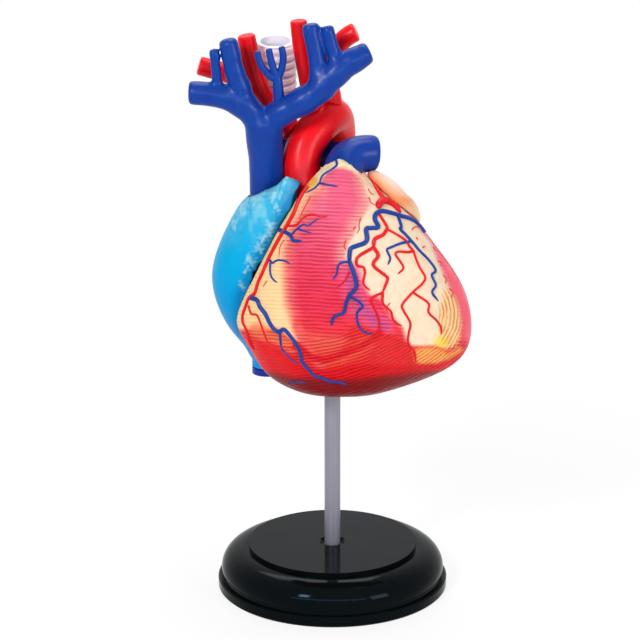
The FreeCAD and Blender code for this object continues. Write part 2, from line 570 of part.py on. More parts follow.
# ---------------------------------------------------------------- valve plate
# A flat plate let into the open top of both ventricles, bored for three of the valves.
valve_plate = valve_triangle(VALVE_PLATE_MARGIN, -VALVE_PLATE_THICKNESS, 0.0)
valve_bores = ((TRICUSPID_AT, TRICUSPID_RADIUS), (MITRAL_AT, MITRAL_RADIUS), (AORTIC_AT, AORTIC_RADIUS))
for place, radius in valve_bores:
    bore = Part.makeCylinder(radius + VALVE_FIT, CUTTER_LENGTH, Vector(0, 0, -CUTTER_LENGTH / 2))
    bore.Placement = groove_placement(*place)
    valve_plate = valve_plate.cut(bore)
valve_plate = valve_plate.cut(pulmonary_clearance)
write("valve_plate", valve_plate)


# ---------------------------------------------------------------- valves
# A seat ring with leaflets that lean inward and down from it. The two inlet valves have
# long leaflets that hang into their ventricles; the outlet valves have three short cusps.
def valve(radius, cusps, drop, thickness):
    """Ring facing up round the vertical axis, with its leaflets parted by narrow slits."""
    lip = radius - VALVE_RING_WIDTH
    root = lip + LEAFLET_OVERLAP
    free = lip * LEAFLET_FREE_SHARE
    low = -thickness - drop
    body = turned([(lip, -thickness), (radius, -thickness), (radius, 0), (lip, 0)])
    skin = turned([(root, -thickness), (root - LEAFLET_THICKNESS, -thickness), (free, low),
                   (free + LEAFLET_THICKNESS, low)])
    for cusp in range(cusps):
        slit = Part.makeBox(lip, CUSP_SLIT, drop, Vector(0, -CUSP_SLIT / 2, low - drop / 4))
        slit.rotate(Vector(0, 0, 0), UP, 360 * cusp / cusps)
        skin = skin.cut(slit)
    return body.fuse(skin)


tricuspid = valve(TRICUSPID_RADIUS, 3, LEAFLET_DROP, VALVE_PLATE_THICKNESS)
tricuspid.Placement = groove_placement(*TRICUSPID_AT)
write("tricuspid_valve", tricuspid)
mitral = valve(MITRAL_RADIUS, 2, LEAFLET_DROP, VALVE_PLATE_THICKNESS)
mitral.Placement = groove_placement(*MITRAL_AT)
write("mitral_valve", mitral)
aortic = valve(AORTIC_RADIUS, 3, CUSP_DROP, VALVE_PLATE_THICKNESS)
aortic.Placement = groove_placement(*AORTIC_AT)
write("aortic_valve", aortic)
pulmonary = valve(PULMONARY_RADIUS - SEAT_GAP, 3, CUSP_DROP, PULMONARY_RING_THICKNESS)
pulmonary.Placement = FreeCAD.Placement(trunk_start - trunk_way * SEAT_GAP, FreeCAD.Rotation(UP, trunk_way))
write("pulmonary_valve", pulmonary)

# ---------------------------------------------------------------- left atrium
# A hollow flattened ball, open onto the valve plate.
def upright_egg(centre, halves, grow):
    return ellipsoid(centre, UP_LEAN, halves[2] + grow, halves[1] + grow, halves[0] + grow)


left_atrium_form = upright_egg(LEFT_ATRIUM_CENTRE, LEFT_ATRIUM_HALF, 0.0)
left_atrium_clearance = upright_egg(LEFT_ATRIUM_CENTRE, LEFT_ATRIUM_HALF, SEAT_GAP)
left_atrium = left_atrium_form.cut(upright_egg(LEFT_ATRIUM_CENTRE, LEFT_ATRIUM_HALF, -LEFT_ATRIUM_WALL))
left_atrium = left_atrium.common(groove_block(GROOVE_GAP, REACH)).cut(aorta_clearance)
write("left_atrium", left_atrium)

# ---------------------------------------------------------------- pulmonary veins
# Four short stubs round the back of the left atrium.
for name, path in PULMONARY_VEIN_PATHS.items():
    stub = rounded_tube(path, even(PULMONARY_VEIN_RADIUS, path))
    write(name, stub.cut(left_atrium_clearance))

# ---------------------------------------------------------------- right atrium
# The ear-shaped chamber on the heart's right side: hollow, open onto the valve plate,
# seated for the upper vena cava on top and bored for the lower one below.
band_top = LOWER_CAVA_BOTTOM + LOWER_CAVA_BAND
collar = Part.makeCylinder(LOWER_CAVA_RADIUS, LOWER_COLLAR_HEIGHT, LOWER_CAVA_AT + UP * (band_top + SEAT_GAP))
right_atrium = smooth_solid(level_grid(RIGHT_ATRIUM_LEVELS, RIGHT_ATRIUM_LOWEST, RIGHT_ATRIUM_HIGHEST))
right_atrium = right_atrium.fuse(collar)
right_atrium = right_atrium.cut(grown_ventricles(GROOVE_GAP).common(groove_block(-REACH, GROOVE_GAP)))
right_atrium = right_atrium.cut(upright_egg(RIGHT_ATRIUM_HOLLOW_CENTRE, RIGHT_ATRIUM_HOLLOW_HALF, 0.0))
aorta_side = Part.makeBox(REACH, REACH, REACH, Vector(AORTA_SIDE_X, AORTA_SIDE_Y, AORTA_SIDE_Z))
right_atrium = right_atrium.cut(aorta_side).cut(aorta_clearance).cut(left_atrium_clearance)
cava_seat = Part.makeCylinder(CAVA_RADIUS + 2 * SEAT_GAP, CUTTER_LENGTH, CAVA_PATH[0] - UP * 2 * SEAT_GAP)
cava_hole = Part.makeCylinder(CAVA_SPIGOT_RADIUS + ROD_FIT, 2 * CUTTER_LENGTH,
                              CAVA_PATH[0] - UP * CUTTER_LENGTH)
below_band = Part.makeBox(REACH, REACH, band_top + SEAT_GAP, Vector(-REACH, -REACH / 2, 0))
lower_hole = Part.makeCylinder(LOWER_CAVA_SPIGOT + ROD_FIT, CUTTER_LENGTH,
                               LOWER_CAVA_AT + UP * LOWER_CAVA_BOTTOM)
right_atrium = right_atrium.cut(cava_seat).cut(cava_hole).cut(below_band).cut(lower_hole)
write("right_atrium", right_atrium)

# ---------------------------------------------------------------- inferior vena cava
# A short open stub with a wider band, plugged into the right atrium from below.
spigot_top = band_top + LOWER_CAVA_SPIGOT_LENGTH
lower_cava = turned([(LOWER_CAVA_BORE, LOWER_CAVA_BOTTOM), (LOWER_CAVA_RADIUS, LOWER_CAVA_BOTTOM),
                     (LOWER_CAVA_RADIUS, band_top), (LOWER_CAVA_SPIGOT, band_top),
                     (LOWER_CAVA_SPIGOT, spigot_top), (LOWER_CAVA_BORE, spigot_top)])
lower_cava.translate(LOWER_CAVA_AT)
write("inferior_vena_cava", lower_cava)

# ---------------------------------------------------------------- superior vena cava
# The upper vein tree in one piece: the trunk, both brachiocephalic veins running out to
# the subclavian veins, and the four jugular stubs.
def tapered_tube(path, start, end):
    steps = len(path) - 1
    return rounded_tube(path, [start + (end - start) * step / steps for step in range(steps + 1)])


superior_cava = tube(CAVA_PATH, even(CAVA_RADIUS, CAVA_PATH))
vein_branches = [
    (LEFT_BRACHIOCEPHALIC_PATH, BRACHIOCEPHALIC_VEIN_RADIUS, LEFT_SUBCLAVIAN_VEIN_RADIUS),
    (RIGHT_BRACHIOCEPHALIC_PATH, BRACHIOCEPHALIC_VEIN_RADIUS, SUBCLAVIAN_VEIN_RADIUS),
    (LEFT_INTERNAL_JUGULAR_PATH, INTERNAL_JUGULAR_RADIUS, INTERNAL_JUGULAR_RADIUS),
    (LEFT_EXTERNAL_JUGULAR_PATH, LEFT_EXTERNAL_JUGULAR_RADIUS, LEFT_EXTERNAL_JUGULAR_RADIUS),
    (RIGHT_INTERNAL_JUGULAR_PATH, INTERNAL_JUGULAR_RADIUS, INTERNAL_JUGULAR_RADIUS),
    (RIGHT_EXTERNAL_JUGULAR_PATH, RIGHT_EXTERNAL_JUGULAR_RADIUS, RIGHT_EXTERNAL_JUGULAR_RADIUS),
]
for path, start, end in vein_branches:
    superior_cava = superior_cava.fuse(tapered_tube(path, start, end))
superior_cava = superior_cava.fuse(Part.makeSphere(CAVA_RADIUS, CAVA_PATH[-1]))
cava_spigot = Part.makeCylinder(CAVA_SPIGOT_RADIUS, CAVA_SPIGOT_LENGTH,
                                CAVA_PATH[0] - UP * (CAVA_SPIGOT_LENGTH - 1))
superior_cava = superior_cava.fuse(cava_spigot)
write("superior_vena_cava", superior_cava)

# ---------------------------------------------------------------- thyroid veins
# A thin trunk that divides in three, standing on the left brachiocephalic vein.
thyroid = tapered_tube(THYROID_TRUNK_PATH, THYROID_TRUNK_RADIUS, THYROID_TRUNK_TIP_RADIUS)
for path in THYROID_BRANCH_PATHS:
    thyroid = thyroid.fuse(tapered_tube(path, THYROID_BRANCH_ROOT_RADIUS, THYROID_BRANCH_RADIUS))
brachiocephalic_clearance = tapered_tube(LEFT_BRACHIOCEPHALIC_PATH, BRACHIOCEPHALIC_VEIN_RADIUS + SEAT_GAP / 2,
                                         LEFT_SUBCLAVIAN_VEIN_RADIUS + SEAT_GAP / 2)
write("thyroid_veins", thyroid.cut(brachiocephalic_clearance))

# ---------------------------------------------------------------- aorta
# Rises from its valve, arches back over the pulmonary artery and ends as a short stub.
aorta = rounded_tube(AORTA_PATH, even(AORTA_RADIUS, AORTA_PATH)).common(groove_block(SEAT_GAP, REACH))
write("aorta", aorta)

# ---------------------------------------------------------------- arteries on the arch
right_carotid = tapered_tube(RIGHT_CAROTID_PATH, RIGHT_CAROTID_ROOT_RADIUS, CAROTID_RADIUS)
right_subclavian = tapered_tube(RIGHT_SUBCLAVIAN_PATH, RIGHT_SUBCLAVIAN_ROOT_RADIUS, SUBCLAVIAN_ARTERY_RADIUS)
write("brachiocephalic_artery", right_carotid.fuse(right_subclavian).cut(aorta_clearance))
left_carotid = tapered_tube(LEFT_CAROTID_PATH, CAROTID_RADIUS, LEFT_CAROTID_TIP_RADIUS)
write("left_carotid_artery", left_carotid.cut(aorta_clearance))
left_subclavian = rounded_tube(LEFT_SUBCLAVIAN_PATH, even(SUBCLAVIAN_ARTERY_RADIUS, LEFT_SUBCLAVIAN_PATH))
write("left_subclavian_artery", left_subclavian.cut(aorta_clearance))

# ---------------------------------------------------------------- pulmonary artery
# The trunk leaves the front of the right ventricle and turns to the left; its right branch
# is a piece of its own that runs back under the arch.
trunk_radii = even(PULMONARY_TRUNK_RADIUS, PULMONARY_PATH)
trunk_radii[0] = PULMONARY_RADIUS
trunk_radii[-1] = PULMONARY_TIP_RADIUS
pulmonary_trunk = rounded_tube(PULMONARY_PATH, trunk_radii).cut(aorta_clearance)
write("pulmonary_trunk", pulmonary_trunk)
right_branch = rounded_tube(PULMONARY_BRANCH_PATH, even(PULMONARY_BRANCH_RADIUS, PULMONARY_BRANCH_PATH))
write("right_pulmonary_artery", right_branch.cut(pulmonary_clearance))

# ---------------------------------------------------------------- left auricle
# An ear that starts at the left atrium and wraps round the shoulder of the left ventricle.
auricle = tube(LEFT_AURICLE_PATH, LEFT_AURICLE_RADII)
auricle = auricle.fuse(Part.makeSphere(LEFT_AURICLE_RADII[-1], LEFT_AURICLE_PATH[-1]))
auricle = auricle.cut(grown_ventricles(SEAT_GAP)).cut(left_atrium_clearance).cut(pulmonary_clearance)
write("left_auricle", auricle)

# ---------------------------------------------------------------- trachea
# A ringed pipe, open at the top, dividing in two behind the right pulmonary artery.
trachea_line = TRACHEA_TOP - TRACHEA_BOTTOM
ring_count = int(trachea_line.Length / TRACHEA_RING_PITCH)
edges = [Part.makeLine(Vector(TRACHEA_BORE, 0, 0), Vector(TRACHEA_RADIUS - TRACHEA_RING_RISE, 0, 0))]
for step in range(ring_count):
    low = Vector(TRACHEA_RADIUS - TRACHEA_RING_RISE, 0, step * TRACHEA_RING_PITCH)
    flank = Vector(TRACHEA_RING_RISE, 0, TRACHEA_RING_PITCH * RING_FLANK_SHARE)
    crown = UP * TRACHEA_RING_PITCH * RING_CROWN_SHARE
    high = low + UP * TRACHEA_RING_PITCH * (2 * RING_FLANK_SHARE + RING_CROWN_SHARE)
    edges.append(Part.makeLine(low, low + flank))
    edges.append(Part.makeLine(low + flank, low + flank + crown))
    edges.append(Part.makeLine(low + flank + crown, high))
    edges.append(Part.makeLine(high, low + UP * TRACHEA_RING_PITCH))
pipe_length = ring_count * TRACHEA_RING_PITCH
pipe_top = Vector(TRACHEA_BORE, 0, pipe_length)
edges.append(Part.makeLine(Vector(TRACHEA_RADIUS - TRACHEA_RING_RISE, 0, pipe_length), pipe_top))
edges.append(Part.makeLine(pipe_top, Vector(TRACHEA_BORE, 0, 0)))
trachea = Part.Face(Part.Wire(edges)).revolve(Vector(0, 0, 0), UP, 360)
trachea.Placement = FreeCAD.Placement(TRACHEA_BOTTOM, FreeCAD.Rotation(UP, trachea_line))
for path in BRONCHUS_PATHS:
    trachea = trachea.fuse(rounded_tube(path, even(BRONCHUS_RADIUS, path)))
write("trachea", trachea.cut(branch_clearance))
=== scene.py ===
import math

import bmesh
import bpy
import numpy as np
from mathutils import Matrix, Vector
from mathutils.bvhtree import BVHTree


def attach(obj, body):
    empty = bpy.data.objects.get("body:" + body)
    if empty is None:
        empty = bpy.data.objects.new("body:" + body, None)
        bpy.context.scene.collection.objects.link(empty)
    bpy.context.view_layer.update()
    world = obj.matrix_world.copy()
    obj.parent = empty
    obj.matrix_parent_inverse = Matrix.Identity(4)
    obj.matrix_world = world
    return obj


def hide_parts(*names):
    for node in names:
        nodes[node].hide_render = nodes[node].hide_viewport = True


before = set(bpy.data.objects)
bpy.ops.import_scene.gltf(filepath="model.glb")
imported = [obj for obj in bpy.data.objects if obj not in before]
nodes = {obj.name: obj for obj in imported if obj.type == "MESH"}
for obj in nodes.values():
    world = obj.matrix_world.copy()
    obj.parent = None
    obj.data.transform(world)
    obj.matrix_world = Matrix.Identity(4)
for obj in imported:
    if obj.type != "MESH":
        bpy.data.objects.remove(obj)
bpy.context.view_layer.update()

# ---------------------------------------------------------------- stand base
# A turned dome of gloss black plastic with a sunk disc on top and a foot flange, moulded
# in one piece. The gloss shows faint polishing marks, dust and a slightly uneven skin.
MM = 0.001


def shade(red, green, blue):
    """A colour given as display values from 0 to 255, in the linear values that nodes take."""
    parts = [value / 255.0 for value in (red, green, blue)]
    return tuple(((p + 0.055) / 1.055) ** 2.4 if p > 0.04045 else p / 12.92 for p in parts) + (1.0,)


def plug(tree, socket, value):
    """Gives a socket a value, or the wire that leads to it."""
    if isinstance(value, Wire):
        tree.links.new(value.socket, socket)
    else:
        socket.default_value = value


class Wire:
    """One value in a node tree, which can stand in ordinary sums; each adds its Math node."""

    def __init__(self, tree, socket):
        self.tree = tree
        self.socket = socket

    def sum(self, operation, *values):
        node = self.tree.nodes.new("ShaderNodeMath")
        node.operation = operation
        for socket, value in zip(node.inputs, values):
            plug(self.tree, socket, value)
        return Wire(self.tree, node.outputs[0])

    def __add__(self, other):
        return self.sum("ADD", self, other)

    def __radd__(self, other):
        return self.sum("ADD", other, self)

    def __sub__(self, other):
        return self.sum("SUBTRACT", self, other)

    def __rsub__(self, other):
        return self.sum("SUBTRACT", other, self)

    def __mul__(self, other):
        return self.sum("MULTIPLY", self, other)

    def __rmul__(self, other):
        return self.sum("MULTIPLY", other, self)

    def __truediv__(self, other):
        return self.sum("DIVIDE", self, other)

    def __pow__(self, other):
        return self.sum("POWER", self, other)

    def sine(self):
        return self.sum("SINE", self)

    def root(self):
        return self.sum("SQRT", self)

    def either(self, other):
        return self.sum("MAXIMUM", self, other)

    def ramp(self, low, high):
        """0 below low, 1 above high and a soft step between them."""
        ends = {"Value": self, "From Min": low, "From Max": high}
        return Web(self.tree).node("ShaderNodeMapRange", {"interpolation_type": "SMOOTHSTEP"}, ends, "Result")


class Web:
    """A node tree with one way to add a node: its kind, settings, socket values and output."""

    def __init__(self, tree):
        self.tree = tree

    def node(self, kind, settings, sockets, output=0):
        made = self.tree.nodes.new(kind)
        for key, value in settings.items():
            setattr(made, key, value)
        for key, value in sockets.items():
            plug(self.tree, made.inputs[key], value)
        return Wire(self.tree, made.outputs[output])

    def vectors(self, operation, first, second, output=0):
        return self.node("ShaderNodeVectorMath", {"operation": operation}, {0: first, 1: second}, output)


class Finish(Web):
    """A surface finish: place on the object, colour, gloss and relief."""

    def __init__(self, name, **values):
        self.material = bpy.data.materials.new(name)
        self.material.use_nodes = True
        super().__init__(self.material.node_tree)
        self.surface = self.tree.nodes["Principled BSDF"]
        for label, value in values.items():
            self.surface.inputs[label.replace("_", " ")].default_value = value
        self.place = self.node("ShaderNodeTexCoord", {}, {}, "Object")

    def blend(self, factor, first, second):
        return self.node("ShaderNodeMix", {"data_type": "RGBA"}, {0: factor, 6: first, 7: second}, 2)

    def tint(self, colour, amount):
        """The colour, multiplied channel by channel."""
        return self.vectors("MULTIPLY", colour, amount)

    def axis(self, label):
        return self.node("ShaderNodeSeparateXYZ", {}, {0: self.place}, label)

    def value(self, name):
        return self.node("ShaderNodeAttribute", {"attribute_name": name}, {}, "Fac")

    def noise(self, size, stretch=(1.0, 1.0, 1.0), detail=3.0):
        """Cloudy pattern from 0 to 1 with features of about this size in millimetres."""
        scale = tuple(part / (size * MM) for part in stretch)
        at = self.vectors("MULTIPLY", self.place, scale)
        return self.node("ShaderNodeTexNoise", {}, {"Vector": at, "Scale": 1.0, "Detail": detail}, "Fac")

    def end(self, colour, roughness, height, depth):
        """Joins colour, roughness and relief (height from 0 to 1, depth in millimetres)."""
        plug(self.tree, self.surface.inputs["Base Color"], colour)
        plug(self.tree, self.surface.inputs["Roughness"], roughness)
        relief = self.node("ShaderNodeBump", {}, {"Height": height, "Distance": depth * MM}, "Normal")
        plug(self.tree, self.surface.inputs["Normal"], relief)
        return self.material


def finish_node(node, material):
    """Gives a carried-over node its finish in every material slot."""
    for index in range(len(nodes[node].data.materials)):
        nodes[node].data.materials[index] = material


base = Finish("gloss_black_plastic", Specular_IOR_Level=0.05, Specular_Tint=(0.45, 0.72, 1.0, 1.0))
mottle = base.noise(14.0)
dust = base.noise(0.55, detail=2.0).ramp(0.72, 0.82)
base_colour = base.blend(mottle, shade(4, 6, 6), shade(11, 15, 15))
base_colour = base.blend(dust * 0.12, base_colour, shade(120, 128, 130))
base_material = base.end(base_colour, 0.07 + 0.05 * mottle + 0.2 * dust, base.noise(6.0, detail=1.0), 0.03)
finish_node("stand_base", base_material)

# ---------------------------------------------------------------- rod and socket
# The rod is drawn steel with a satin skin and fine draw lines along it; it stands in the
# base. The socket is a turned sleeve, pressed into the heart, that turns and lifts on the rod.
rod = Finish("satin_steel_rod", Metallic=0.35)
draw_lines = rod.noise(0.35, stretch=(1.0, 1.0, 0.02), detail=4.0)
rod_colour = rod.blend(draw_lines, shade(126, 124, 135), shade(156, 154, 166))
finish_node("stand_rod", rod.end(rod_colour, 0.34 + 0.14 * draw_lines, draw_lines, 0.02))

socket = Finish("turned_socket_metal", Metallic=0.9)
turning = socket.noise(0.4, stretch=(0.05, 0.05, 1.0), detail=4.0)
socket_colour = socket.blend(turning, shade(158, 152, 140), shade(196, 190, 178))
finish_node("rod_socket", socket.end(socket_colour, 0.26 + 0.16 * turning, turning, 0.02))

# ---------------------------------------------------------------- back wall
# The back half of the ventricle wall: hollow moulded vinyl, airbrushed red and pink over
# cream, with fibre lines engraved in it and painted shade along its bottom edge. The chambers
# inside show muscle ridges.
HEART = Vector((0.0, 0.0, 77.0))
BACK_VOXEL = 0.62
CHAMBER_WIDTH = 70.0
FRONT_TILT = math.radians(17.0)
FRONT_WAY = Vector((0.0, math.cos(FRONT_TILT), -math.sin(FRONT_TILT)))
FRONT_RISE = Vector((0.0, math.sin(FRONT_TILT), math.cos(FRONT_TILT)))
MUSCLE = (206, 66, 72)
LEVEL_PITCH = 1.37
SWIRL_PITCH = 1.25
WHORL_PITCH = 1.3
WHORL_MIDDLE = (27.0, 30.0)
BACK_GROOVE = [(8.0, 60.0), (12.0, 46.0), (18.0, 32.0), (27.0, 20.0), (36.0, 12.0)]


def set_out(name, data):
    """An object at the origin that holds this mesh, lamp or camera."""
    made = bpy.data.objects.new(name, data)
    bpy.context.scene.collection.objects.link(made)
    return made


def plain_mesh(carrier):
    """What the carrier's modifier makes of it, as a mesh of its own; the carrier goes."""
    bpy.context.view_layer.update()
    graph = bpy.context.evaluated_depsgraph_get()
    mesh = bpy.data.meshes.new_from_object(carrier.evaluated_get(graph))
    bpy.data.objects.remove(carrier)
    return mesh


def merged_copy(node):
    """A copy of a moulding with its loose faces joined, and its surface to snap points on."""
    work = bmesh.new()
    work.from_mesh(nodes[node].data)
    bmesh.ops.remove_doubles(work, verts=work.verts, dist=0.001 * MM)
    mesh = bpy.data.meshes.new(node + "_merged")
    work.to_mesh(mesh)
    surface = BVHTree.FromBMesh(work)
    work.free()
    return mesh, surface


def even_skin(node, voxel):
    """A copy of a moulded wall with small even faces lying on the wall's own surface."""
    coarse, surface = merged_copy(node)
    carrier = set_out(node + "_carrier", coarse)
    even = carrier.modifiers.new("even", "REMESH")
    even.mode = "VOXEL"
    even.voxel_size = voxel * MM
    even.use_smooth_shade = True
    mesh = plain_mesh(carrier)
    mesh.materials.clear()
    for vertex in mesh.vertices:
        vertex.co = surface.find_nearest(vertex.co)[0]
    mesh.update()
    return mesh


def points_of(mesh):
    """Vertex places in millimetres and vertex normals, as arrays."""
    places = np.zeros(len(mesh.vertices) * 3)
    mesh.vertices.foreach_get("co", places)
    normals = np.array([vertex.normal[:] for vertex in mesh.vertices])
    return places.reshape(-1, 3) / MM, normals


def move_to(mesh, places):
    mesh.vertices.foreach_set("co", (places * MM).ravel())
    mesh.update()


def solid_trees(*names):
    """The surfaces of these nodes, to cast rays at."""
    return [BVHTree.FromPolygons([v.co for v in nodes[n].data.vertices],
                                 [p.vertices[:] for p in nodes[n].data.polygons]) for n in names]


def facing_out(places, normals, trees):
    """1 where nothing stands in front of the surface within a chamber's width, else 0."""
    out = np.ones(len(places))
    for index, (place, normal) in enumerate(zip(places, normals)):
        way = Vector(normal)
        start = Vector(place) * MM + way * (0.3 * MM)
        if any(tree.ray_cast(start, way, CHAMBER_WIDTH * MM)[0] is not None for tree in trees):
            out[index] = 0.0
    return out


def keep(mesh, name, values):
    """Stores one number per vertex under this name."""
    store = mesh.attributes.new(name, "FLOAT", "POINT")
    store.data.foreach_set("value", np.asarray(values, np.float32))


def keep_paint(mesh, paint):
    """Stores the airbrushed colour, one per vertex, given in display values."""
    part = np.clip(paint, 0, 255) / 255.0
    linear = np.where(part > 0.04045, ((part + 0.055) / 1.055) ** 2.4, part / 12.92)
    store = mesh.attributes.new("paint", "FLOAT_COLOR", "POINT")
    full = np.ones((len(paint), 4), np.float32)
    full[:, :3] = linear
    store.data.foreach_set("color", full.ravel())


def soft_step(low, high, value):
    """0 at low, 1 at high and a soft step between them, which may also run downwards."""
    part = np.clip((value - low) / (high - low), 0.0, 1.0)
    return part * part * (3.0 - 2.0 * part)


def away_from(points, line):
    """Distance of every drawing point from a line of drawing points."""
    line = np.asarray(line, float)
    nearest = np.full(len(points), 1e9)
    for start, end in zip(line[:-1], line[1:]):
        run = end - start
        along = np.clip((points - start) @ run / max(run @ run, 1e-9), 0.0, 1.0)
        offset = points - start - along[:, None] * run
        nearest = np.minimum(nearest, np.hypot(offset[:, 0], offset[:, 1]))
    return nearest


def inside(points, outline):
    """True for the drawing points inside a closed outline."""
    outline = np.asarray(outline, float)
    crossed = np.zeros(len(points), bool)
    for (u0, v0), (u1, v1) in zip(outline, np.roll(outline, -1, axis=0)):
        between = (v0 > points[:, 1]) != (v1 > points[:, 1])
        if v0 != v1:
            crossed ^= between & (points[:, 0] < (u1 - u0) * (points[:, 1] - v0) / (v1 - v0) + u0)
    return crossed


def area(points, outline, soft):
    """1 inside a closed outline, 0 outside it, with an airbrushed edge this wide."""
    closed = np.vstack([outline, outline[:1]])
    reach = away_from(points, closed)
    return soft_step(-soft, soft, np.where(inside(points, outline), reach, -reach))


def front_drawing(places):
    """Points in the plane of the drawings on the front: across, and up the slope."""
    return np.column_stack([places[:, 0], (places - np.array(HEART)) @ np.array(FRONT_RISE)])


def spray(paint, colour, amount):
    """Airbrushes a colour over the paint."""
    paint += (np.asarray(colour, float) - paint) * np.asarray(amount)[:, None]


def muscle_finish(name):
    """Airbrushed vinyl with engraved fibre lines, for a mesh that stores its own paint."""
    wall = Finish(name, Specular_IOR_Level=0.14, Coat_Weight=0.03, Coat_Roughness=0.2)
    across = wall.axis("X") / MM
    tilt_cos, tilt_sin = math.cos(FRONT_TILT), math.sin(FRONT_TILT)
    up = (wall.axis("Z") / MM - HEART.z) * tilt_cos + wall.axis("Y") * (tilt_sin / MM)
    waver = wall.noise(9.0) * 1.1 + wall.noise(2.5) * 0.25
    level = (up + 0.04 * across + waver) / LEVEL_PITCH
    swirl = (up - 0.10 * across - 0.0062 * (across + 10.0) ** 2.0 + waver * 1.6) / SWIRL_PITCH
    from_middle = ((across - WHORL_MIDDLE[0]) ** 2.0 + (up - WHORL_MIDDLE[1]) ** 2.0).root()
    whorl = (from_middle + waver * 1.4) / WHORL_PITCH
    broken = wall.noise(3.0, stretch=(0.35, 1.0, 1.0)).ramp(0.30, 0.55)
    lines = 0.0
    for strength, phase in (("level", level), ("swirl", swirl), ("whorl", whorl)):
        wave = ((phase * math.tau).sine() * 0.5 + 0.5) ** 2.2
        lines = wave * wall.value(strength) * (0.45 + 0.55 * broken) + lines
    paint = wall.node("ShaderNodeAttribute", {"attribute_name": "paint"}, {}, "Color")
    patch = wall.noise(5.5).ramp(0.35, 0.70)
    colour = wall.blend(patch * 0.30, paint, wall.tint(paint, (1.04, 0.90, 0.92)))
    colour = wall.blend(lines * 0.88, colour, wall.tint(colour, (0.90, 0.22, 0.36)))
    spots = wall.noise(3.2, detail=4.0).ramp(0.42, 0.66) * wall.value("fat")
    colour = wall.blend(spots, colour, wall.tint(colour, (0.95, 0.84, 0.72)))
    lumps = wall.noise(4.2, detail=4.0) * wall.value("fat")
    ridges = wall.noise(4.5, stretch=(1.0, 1.0, 0.45)).ramp(0.35, 0.65) * wall.value("ridge")
    grain = wall.noise(0.9) * 0.12
    height = lumps * 0.9 + ridges * 1.6 + grain - lines * 0.42
    return wall.end(colour, 0.36 + 0.14 * patch, height, 0.9)


def hang(name, mesh, body, slot, *replaced):
    """Makes the finished piece and lets it ride on its body."""
    mesh.name = name
    piece = set_out(name, mesh)
    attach(piece, body)
    if replaced:
        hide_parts(*replaced)
    return piece


wall_trees = solid_trees("anterior_wall", "posterior_wall")
muscle_material = muscle_finish("airbrushed_heart_muscle")
back_mesh = even_skin("posterior_wall", BACK_VOXEL)
back_places, back_normals = points_of(back_mesh)
back_out = facing_out(back_places, back_normals, wall_trees)
back_draw = np.column_stack([back_places[:, 0], back_places[:, 2] - HEART.z])
back_paint = np.tile((222.0, 58.0, 74.0), (len(back_places), 1))
spray(back_paint, (236, 112, 132), soft_step(40, 70, back_draw[:, 1]))
spray(back_paint, (212, 28, 34), soft_step(26, 8, back_draw[:, 1]))
back_fat = soft_step(7.0, 2.5, away_from(back_draw, BACK_GROOVE))
spray(back_paint, (243, 216, 170), back_fat * 0.9)
# Painted shade, dark red, along the bottom edge of the back wall.
spray(back_paint, (150, 40, 36), soft_step(9.0, 3.0, back_draw[:, 1]) * 0.8)
spray(back_paint, MUSCLE, 1.0 - back_out)
keep_paint(back_mesh, back_paint)
keep(back_mesh, "level", back_out * (1.0 - back_fat) * soft_step(14, 24, back_draw[:, 1]))
keep(back_mesh, "swirl", back_out * (1.0 - back_fat) * soft_step(24, 14, back_draw[:, 1]) * 0.8)
keep(back_mesh, "fat", back_fat * back_out)
keep(back_mesh, "ridge", 1.0 - back_out)
back_mesh.materials.append(muscle_material)
back_wall = hang("back_wall", back_mesh, "core", "heart_wall", "posterior_wall")

# ---------------------------------------------------------------- valves
# Cream rings with soft leaflets, moulded separately and glued into the groove plate. The
# leaflets are slit so that they look parted.
valve = Finish("cream_valve_vinyl", Specular_IOR_Level=0.4)
valve_cloud = valve.noise(2.6)
valve_colour = valve.blend(valve_cloud.ramp(0.3, 0.7), shade(246, 226, 190), shade(240, 200, 164))
valve_material = valve.end(valve_colour, 0.38 + 0.1 * valve_cloud, valve.noise(0.7), 0.12)
for valve_node in ("tricuspid_valve", "mitral_valve", "aortic_valve", "pulmonary_valve"):
    finish_node(valve_node, valve_material)

plate = Finish("groove_plate_vinyl", Specular_IOR_Level=0.4)
plate_cloud = plate.noise(5.0)
plate_colour = plate.blend(plate_cloud.ramp(0.3, 0.7), shade(243, 214, 168), shade(232, 168, 138))
finish_node("valve_plate", plate.end(plate_colour, 0.40 + 0.1 * plate_cloud, plate.noise(1.1), 0.2))

# ---------------------------------------------------------------- left atrium
# A pink hollow sac behind the arteries with four red vein stumps glued into it, all painted
# vinyl with soft brush marks. The upper left stump droops behind the auricle.
LUNG_VEIN_DROP = 2.6
LUNG_VEIN_SHRINK = 0.25
LUNG_VEIN_BEND = (10.0, 20.0)


def vessel_finish(name, colour, deep, pale):
    """Gloss paint brushed along a moulded vessel, with deeper clouds and paler streaks."""
    vessel = Finish(name, Specular_IOR_Level=0.14, Coat_Weight=0.05, Coat_Roughness=0.14)
    cloud = vessel.noise(9.0)
    brush = vessel.noise(1.6, stretch=(1.0, 1.0, 0.18), detail=4.0)
    mixed = vessel.blend(cloud.ramp(0.35, 0.75) * 0.55, colour, deep)
    mixed = vessel.blend(brush.ramp(0.55, 0.8) * 0.22, mixed, pale)
    return vessel.end(mixed, 0.27 + 0.12 * brush, brush * 0.5 + vessel.noise(3.2) * 0.5, 0.16)


